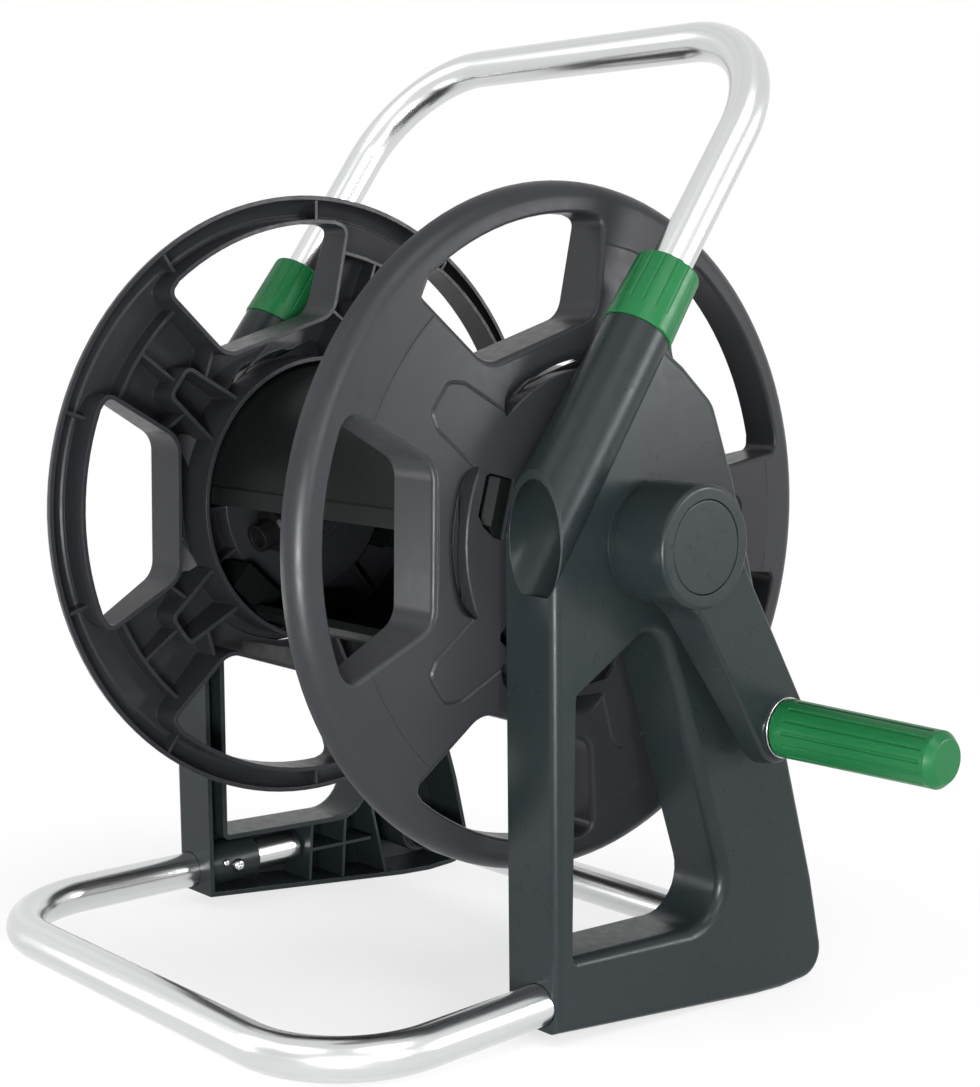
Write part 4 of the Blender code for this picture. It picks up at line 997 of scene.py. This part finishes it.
def drum_flange(side, word):
    """Flange with its rolled rim, hub cup, ribs, bays and windows."""
    skin = FLANGE_T
    bore = STUB_R + GAP
    rim = []
    for k in range(1, 9):
        a = pi / 2 * k / 9
        rim.append((SHOULDER_X - 11.6 * (1 - cos(a)), SHOULDER_R + 11.5 * sin(a)))
    inside = [(x - skin * 0.6, r - skin * 0.8) for x, r in reversed(rim)]
    hub = STUB_R + 4
    profile = [(FLANGE_PANEL - skin, bore), (FLANGE_PANEL - skin, hub), (DISC_X + skin, hub),
               (DISC_X + skin, DISC_R - 2.3), (FLANGE_PANEL, DISC_R - 2.3),
               (FLANGE_PANEL, PANEL_R - 8.0), (FLANGE_PANEL - 0.12, PANEL_R - 4.0),
               (FLANGE_PANEL - 0.45, PANEL_R + 1.0), (FLANGE_PANEL - 1.0, PANEL_R + 6.0),
               (face_x(100.0), 100.0), (FLANGE_FACE + 0.05, SEAM_R - 0.5),
               (FLANGE_FACE - 0.5, SEAM_R - 0.15), (FLANGE_FACE - 0.5, SEAM_R + 0.15),
               (FLANGE_FACE - 0.05, SEAM_R + 0.5), (SHOULDER_X + 0.2, SHOULDER_R - 1.0)]
    profile += rim + [(FLANGE_LIP, FLANGE_R), (FLANGE_LIP, FLANGE_R - skin)] + inside
    profile += [(118.0, 170.4), (FLANGE_FACE - skin, SEAM_R), (face_x(96.0) - skin, 96.0),
                (FLANGE_PANEL - skin, PANEL_R), (WINDOW_LIP, PANEL_R), (WINDOW_LIP, RING_IN),
                (FLANGE_PANEL - skin, RING_IN), (FLANGE_PANEL - skin, DISC_R + 0.6),
                (DISC_X + 0.8, DISC_R), (DISC_X + 0.2, DISC_R - 0.4), (DISC_X, DISC_R - 1.2),
                (DISC_X, hub), (STUB_IN, hub), (STUB_IN, bore)]
    body = turned(profile, FLANGE_SIDES, (0, 0, AXLE_Z))
    turns = [WINDOW_TURN + PITCH * k for k in range(WINDOWS)]
    spokes = [t + PITCH / 2 for t in turns]
    groups = [[into_skin(prism(window_outline(t, 2.5), WINDOW_LIP, FLANGE_FACE)) for t in turns],
              [spoke_box(t) for t in spokes], [round_wall(t) for t in spokes],
              [rib for t in spokes for rib in spoke_ribs(t)],
              [rim_web(t + d) for t in turns for d in (-RIM_WEB_TURN, RIM_WEB_TURN)],
              [bulge(t) for t in turns], [annulus_rib(t) for t in ANNULUS_RIBS]]
    for group in groups:
        body = combine(body, [join_tools(group)], "UNION")
    cuts = [join_tools([flange_window(t) for t in turns]), join_tools([recess(t) for t in turns]),
            seam_ring(), join_tools([tab_slot(t) for t in UPPER_TABS + LOWER_TABS])]
    body = combine(body, cuts, "DIFFERENCE")
    finish(mirrored_if_left(body, side), "flange_moulding_" + word, "drum", "drum_plastic",
           ["flange_" + word], 28.0)


def shell_sector(start, end, r0, r1, x0, x1):
    steps = max(2, int(round((end - start) / 3.0)))
    outer = [polar(r1, 0, start + (end - start) * k / steps) for k in range(steps + 1)]
    inner = [polar(r0, 0, start + (end - start) * k / steps) for k in range(steps, -1, -1)]
    return prism(outer + inner, x0, x1)


def core_shell(name, limits, tabs):
    """Half of the core with a lip along its open edge and stepped tabs at both ends."""
    body = shell_sector(limits[0], limits[1], CORE_R - CORE_T, CORE_R, -CORE_END, CORE_END)
    if name == "core_upper":
        band = (limits[1] - SHELL_LIP, limits[1] + 0.4)
    else:
        band = (limits[0] - 0.4, limits[0] + SHELL_LIP)
    reach = WINDOW_LIP - 1.5
    blocks = [shell_sector(band[0], band[1], CORE_R - CORE_T - 0.6, CORE_R + 2.2, -reach, reach)]
    for t in tabs:
        for side in (-1, 1):
            low, high = sorted(side * x for x in TAB_BASE)
            blocks.append(prism(tab_outline(t), low, high))
    body = combine(body, blocks, "UNION")
    fingers = []
    for t in tabs:
        for side in (-1, 1):
            outline = tab_outline(t, TAB_STEP)
            fingers.append(loft([(side * (TAB_BASE[1] - 1.0), outline),
                                 (side * (TAB_X - TAB_CHAMFER), outline),
                                 (side * TAB_X, tab_outline(t, TAB_STEP - TAB_CHAMFER))]))
    body = combine(body, [join_tools(fingers)], "UNION")
    finish(body, name + "_shell", "drum", "core_plastic", [name])


# Crank

def arm_outline(hub_radius, half):
    """Hub and straight arm with a round end, joined by hollow fillets."""
    steps = 20
    middle = half + ARM_FILLET
    reach = sqrt((hub_radius + ARM_FILLET) ** 2 - middle ** 2)
    meet = atan2(middle, reach)
    local = []
    for k in range(2 * steps + 1):
        a = meet + (2 * pi - 2 * meet) * k / (2 * steps)
        local.append((hub_radius * cos(a), hub_radius * sin(a)))
    for k in range(1, steps + 1):
        a = pi - meet + (meet - pi / 2) * k / steps
        local.append((reach + ARM_FILLET * cos(a), ARM_FILLET * sin(a) - middle))
    for k in range(steps + 1):
        a = pi * k / steps - pi / 2
        local.append((CRANK_R + half * cos(a), half * sin(a)))
    for k in range(steps):
        a = -pi / 2 + (meet - pi / 2) * k / steps
        local.append((reach + ARM_FILLET * cos(a), middle + ARM_FILLET * sin(a)))
    return [polar(u, v, CRANK_ANGLE) for u, v in local]


def crank_arm():
    """Hub and arm in one moulding, with a sloping face and drafted, soft-edged flanks."""
    way = Vector(polar(1.0, 0, CRANK_ANGLE)) - Vector(polar(0.0, 0, CRANK_ANGLE))

    def slope(outline, drop):
        out = []
        for point in outline:
            t = max((Vector(point) - Vector((0.0, AXLE_Z))).dot(way) / CRANK_R, 0.0)
            out.append(HUB_OUT - 0.8 + (ARM_OUT - HUB_OUT - 0.6) * t - drop)
        return out

    outer = arm_outline(HUB_R - 0.3, ARM_HALF)
    sections = [(ARM_IN, outer)]
    for depth, shrink in quarter(ARM_EDGE, 5):
        outline = arm_outline(HUB_R - 0.5 - shrink, ARM_HALF - ARM_DRAFT - shrink)
        sections.append((slope(outline, depth), outline))
    arm = loft(sections)
    hub = turned([(HUB_IN, 0.0), (HUB_IN, HUB_R), (HUB_OUT - 2.2, HUB_R),
                  (HUB_OUT - 1.4, HUB_R - 0.25), (HUB_OUT - 0.6, HUB_R - 0.8),
                  (HUB_OUT - 0.15, HUB_R - 1.6), (HUB_OUT, HUB_R - 2.6), (HUB_OUT, 0.0)],
                 HUB_SIDES, (0, 0, AXLE_Z))
    pin = polar(CRANK_R, 0, CRANK_ANGLE)
    seat = rod((ARM_IN + 4, *pin), (ARM_OUT, *pin), GRIP_R + 1.2, None, 64)
    body = combine(hub, [arm, seat], "UNION")
    floor = HUB_OUT - CAP_T - GAP
    pocket = turned([(HUB_OUT - 12.0, 0.0), (HUB_OUT - 12.0, 8.0), (floor, 8.0),
                     (floor, CAP_R + 0.1), (HUB_OUT + 3, CAP_R + 0.1), (HUB_OUT + 3, 0.0)],
                    CAP_SIDES, (0, 0, AXLE_Z))
    hole = rod((ARM_IN - 3, *pin), (ARM_OUT + 12, *pin), PIN_R - 1 + GAP)
    body = combine(body, [pocket, hole], "DIFFERENCE")
    finish(body, "crank_moulding", "drum", "frame_plastic", ["crank_arm"])
    low = HUB_OUT - CAP_T
    r = CAP_R - 0.35
    cap = turned([(low, 0.0), (low, r), (HUB_OUT - 0.7, r), (HUB_OUT - 0.2, r - 0.2),
                  (HUB_OUT, r - 0.7), (HUB_OUT, 0.0)], CAP_SIDES, (0, 0, AXLE_Z))
    finish(cap, "crank_plain_cap", "drum", "frame_plastic", ["crank_cap"])


def grip_and_washer():
    """Grooved green grip with a chamfered end, and the light washer at its root."""
    at = (0.0, *polar(CRANK_R, 0, CRANK_ANGLE))
    profile = [(GRIP_IN, PIN_R + 0.4), (GRIP_IN, GRIP_R - 1.2), (GRIP_IN + 0.4, GRIP_R - 0.4),
               (GRIP_IN + 1.2, GRIP_R), (GRIP_OUT - 4.6, GRIP_END_R),
               (GRIP_OUT - 3.8, GRIP_END_R - 0.4), (GRIP_OUT - 0.6, GRIP_END_R - 3.2),
               (GRIP_OUT, GRIP_END_R - 4.2), (GRIP_OUT, 0.0),
               (GRIP_OUT - 12.0, 0.0), (GRIP_OUT - 12.0, PIN_R + 2.6),
               (GRIP_OUT - 17.0, PIN_R + 2.6), (GRIP_OUT - 17.0, PIN_R + 0.4)]
    body = turned(profile, GRIP_SIDES, at)
    cutters = []
    for k in range(GRIP_GROOVES):
        a = 2 * pi * k / GRIP_GROOVES
        way = Vector((0.0, cos(a), sin(a)))
        start = Vector(at) + Vector((GRIP_IN + 8, 0, 0)) + way * (GRIP_R + 0.35)
        end = Vector(at) + Vector((GRIP_OUT - 7, 0, 0)) + way * (GRIP_END_R + 0.4)
        cutters.append(rod(start, end, GROOVE_R, None, 14))
    body = combine(body, [join_tools(cutters)], "DIFFERENCE")
    finish(body, "grip_grooved", "grip", "green_plastic", ["grip"])
    low = ARM_OUT + GAP
    high = GRIP_IN - GAP
    washer = turned([(low, PIN_R + GAP), (low, GRIP_R + 0.3), (low + 0.2, GRIP_R + 0.5),
                     (high - 0.2, GRIP_R + 0.5), (high, GRIP_R + 0.3), (high, PIN_R + GAP)],
                    CAP_SIDES, at)
    finish(washer, "grip_root_washer", "grip", "steel", ["grip_washer"])


for side, word in ((1, "right"), (-1, "left")):
    side_frame(side, word)
    collar(side, word)
    foot_fasteners(side, word)
    drum_flange(side, word)
handle_tube()
foot_tube()
rear_tube()
core_shell("core_upper", UPPER_SHELL, UPPER_TABS)
core_shell("core_lower", LOWER_SHELL, LOWER_TABS)
crank_arm()
grip_and_washer()

SLOT_OF = {row["node"]: row["material_slot"] for row in frame["record"]["subparts"]}
for name, part in frame["nodes"].items():
    part.data.materials.clear()
    part.data.materials.append(LOOKS[SLOT_OF[name]])


# Camera, floor and light

FOCAL_LENGTH = 65.16
SENSOR = 36.0
VIEW_FROM = Vector((864.565, -729.599, 340.958))
VIEW_RIGHT = Vector((0.66765, 0.74316, 0.04425))
VIEW_UP = Vector((-0.09645, 0.02740, 0.99496))
SHIFT = (-0.00587, 0.00537)
WORLD_LIGHT = 0.42
FLOOR_R = 14.0
FLOOR_DROP = 0.0004
WHITE_FROM = 0.08
WHITE_TO = 0.45
WHITE_LEAST = 0.6

lens = bpy.data.cameras.new("camera")
lens.lens = FOCAL_LENGTH
lens.sensor_width = SENSOR
lens.shift_x, lens.shift_y = SHIFT
lens.clip_start = 0.05
lens.clip_end = 60.0
camera = bpy.data.objects.new("camera", lens)
bpy.context.scene.collection.objects.link(camera)
away = VIEW_RIGHT.cross(VIEW_UP).normalized()
turn = Matrix((VIEW_RIGHT, VIEW_UP, away)).transposed().to_4x4()
camera.matrix_world = Matrix.Translation(ORIGIN + VIEW_FROM * MM) @ turn
bpy.context.scene.camera = camera


def seen_directly(tree):
    """1 for camera, mirror and glass rays, 0 for the light that falls on things."""
    path = tree.nodes.new("ShaderNodeLightPath")
    total = None
    for ray in ("Is Camera Ray", "Is Glossy Ray", "Is Transmission Ray"):
        if total is None:
            total = path.outputs[ray]
            continue
        both = tree.nodes.new("ShaderNodeMath")
        both.operation = "MAXIMUM"
        tree.links.new(total, both.inputs[0])
        tree.links.new(path.outputs[ray], both.inputs[1])
        total = both.outputs[0]
    return total


def build_world():
    world = bpy.data.worlds.new("studio")
    world.use_nodes = True
    bpy.context.scene.world = world
    tree = world.node_tree
    tree.nodes.clear()
    out = tree.nodes.new("ShaderNodeOutputWorld")
    mix = tree.nodes.new("ShaderNodeMixShader")
    light = node(tree, "ShaderNodeBackground", Color=(0.97, 0.985, 1.0, 1.0), Strength=WORLD_LIGHT)
    white = node(tree, "ShaderNodeBackground", Color=(1.0, 1.0, 1.0, 1.0), Strength=1.0)
    tree.links.new(seen_directly(tree), mix.inputs["Fac"])
    tree.links.new(light.outputs[0], mix.inputs[1])
    tree.links.new(white.outputs[0], mix.inputs[2])
    tree.links.new(mix.outputs[0], out.inputs["Surface"])


def build_floor():
    """Paper that keeps the soft shadow near the reel and turns white further out."""
    bm = bmesh.new()
    bmesh.ops.create_circle(bm, cap_ends=True, radius=FLOOR_R, segments=96)
    mesh = bpy.data.meshes.new("floor")
    bm.to_mesh(mesh)
    bm.free()
    floor = bpy.data.objects.new("floor", mesh)
    bpy.context.scene.collection.objects.link(floor)
    floor.location = (0.0, 0.0, -FLOOR_DROP)
    look = bpy.data.materials.new("floor_look")
    look.use_nodes = True
    tree = look.node_tree
    tree.nodes.clear()
    out = tree.nodes.new("ShaderNodeOutputMaterial")
    paper = node(tree, "ShaderNodeBsdfDiffuse", Color=(0.93, 0.93, 0.93, 1.0))
    white = node(tree, "ShaderNodeEmission", Color=(1.0, 1.0, 1.0, 1.0), Strength=1.0)
    place = tree.nodes.new("ShaderNodeTexCoord").outputs["Object"]
    length = tree.nodes.new("ShaderNodeVectorMath")
    length.operation = "LENGTH"
    tree.links.new(place, length.inputs[0])
    far = span(tree, length.outputs["Value"], WHITE_FROM, WHITE_TO, WHITE_LEAST, 1.0)
    amount = tree.nodes.new("ShaderNodeMath")
    amount.operation = "MULTIPLY"
    tree.links.new(far, amount.inputs[0])
    tree.links.new(seen_directly(tree), amount.inputs[1])
    mix = tree.nodes.new("ShaderNodeMixShader")
    tree.links.new(amount.outputs[0], mix.inputs["Fac"])
    tree.links.new(paper.outputs[0], mix.inputs[1])
    tree.links.new(white.outputs[0], mix.inputs[2])
    tree.links.new(mix.outputs[0], out.inputs["Surface"])
    floor.data.materials.append(look)


def soft_light(name, place, target, size, watts):
    data = bpy.data.lights.new(name, "AREA")
    data.shape = "DISK"
    data.size = size
    data.energy = watts
    lamp = bpy.data.objects.new(name, data)
    bpy.context.scene.collection.objects.link(lamp)
    lamp.location = place
    lamp.visible_camera = False
    way = Vector(target) - Vector(place)
    lamp.rotation_mode = "QUATERNION"
    lamp.rotation_quaternion = way.to_track_quat("-Z", "Y")


build_world()
build_floor()
CENTRE = (0.0, 0.0, 0.25)
LAMPS = (
    ("right_light", (2.4, -0.4, 0.8), CENTRE, 1.0, 22.0),
    ("camera_light", (1.2, -1.3, 0.15), CENTRE, 0.45, 14.0),
    ("low_light", (0.62, -0.68, 0.07), (0.12, -0.08, 0.12), 0.3, 12.0),
    ("front_light", (0.0, -1.8, 1.9), CENTRE, 1.4, 8.0),
    ("left_light", (-1.3, -1.7, 1.5), CENTRE, 1.4, 6.0),
    ("low_left_light", (-0.30, -0.52, 0.05), (0.16, -0.06, 0.09), 0.25, 1.5),
    ("rear_light", (1.9, 1.6, 0.75), CENTRE, 0.9, 36.0),
    ("top_light", (1.4, -0.2, 2.0), CENTRE, 1.2, 14.0),
)
for lamp in LAMPS:
    soft_light(*lamp)
bpy.context.scene.view_settings.view_transform = "Standard"
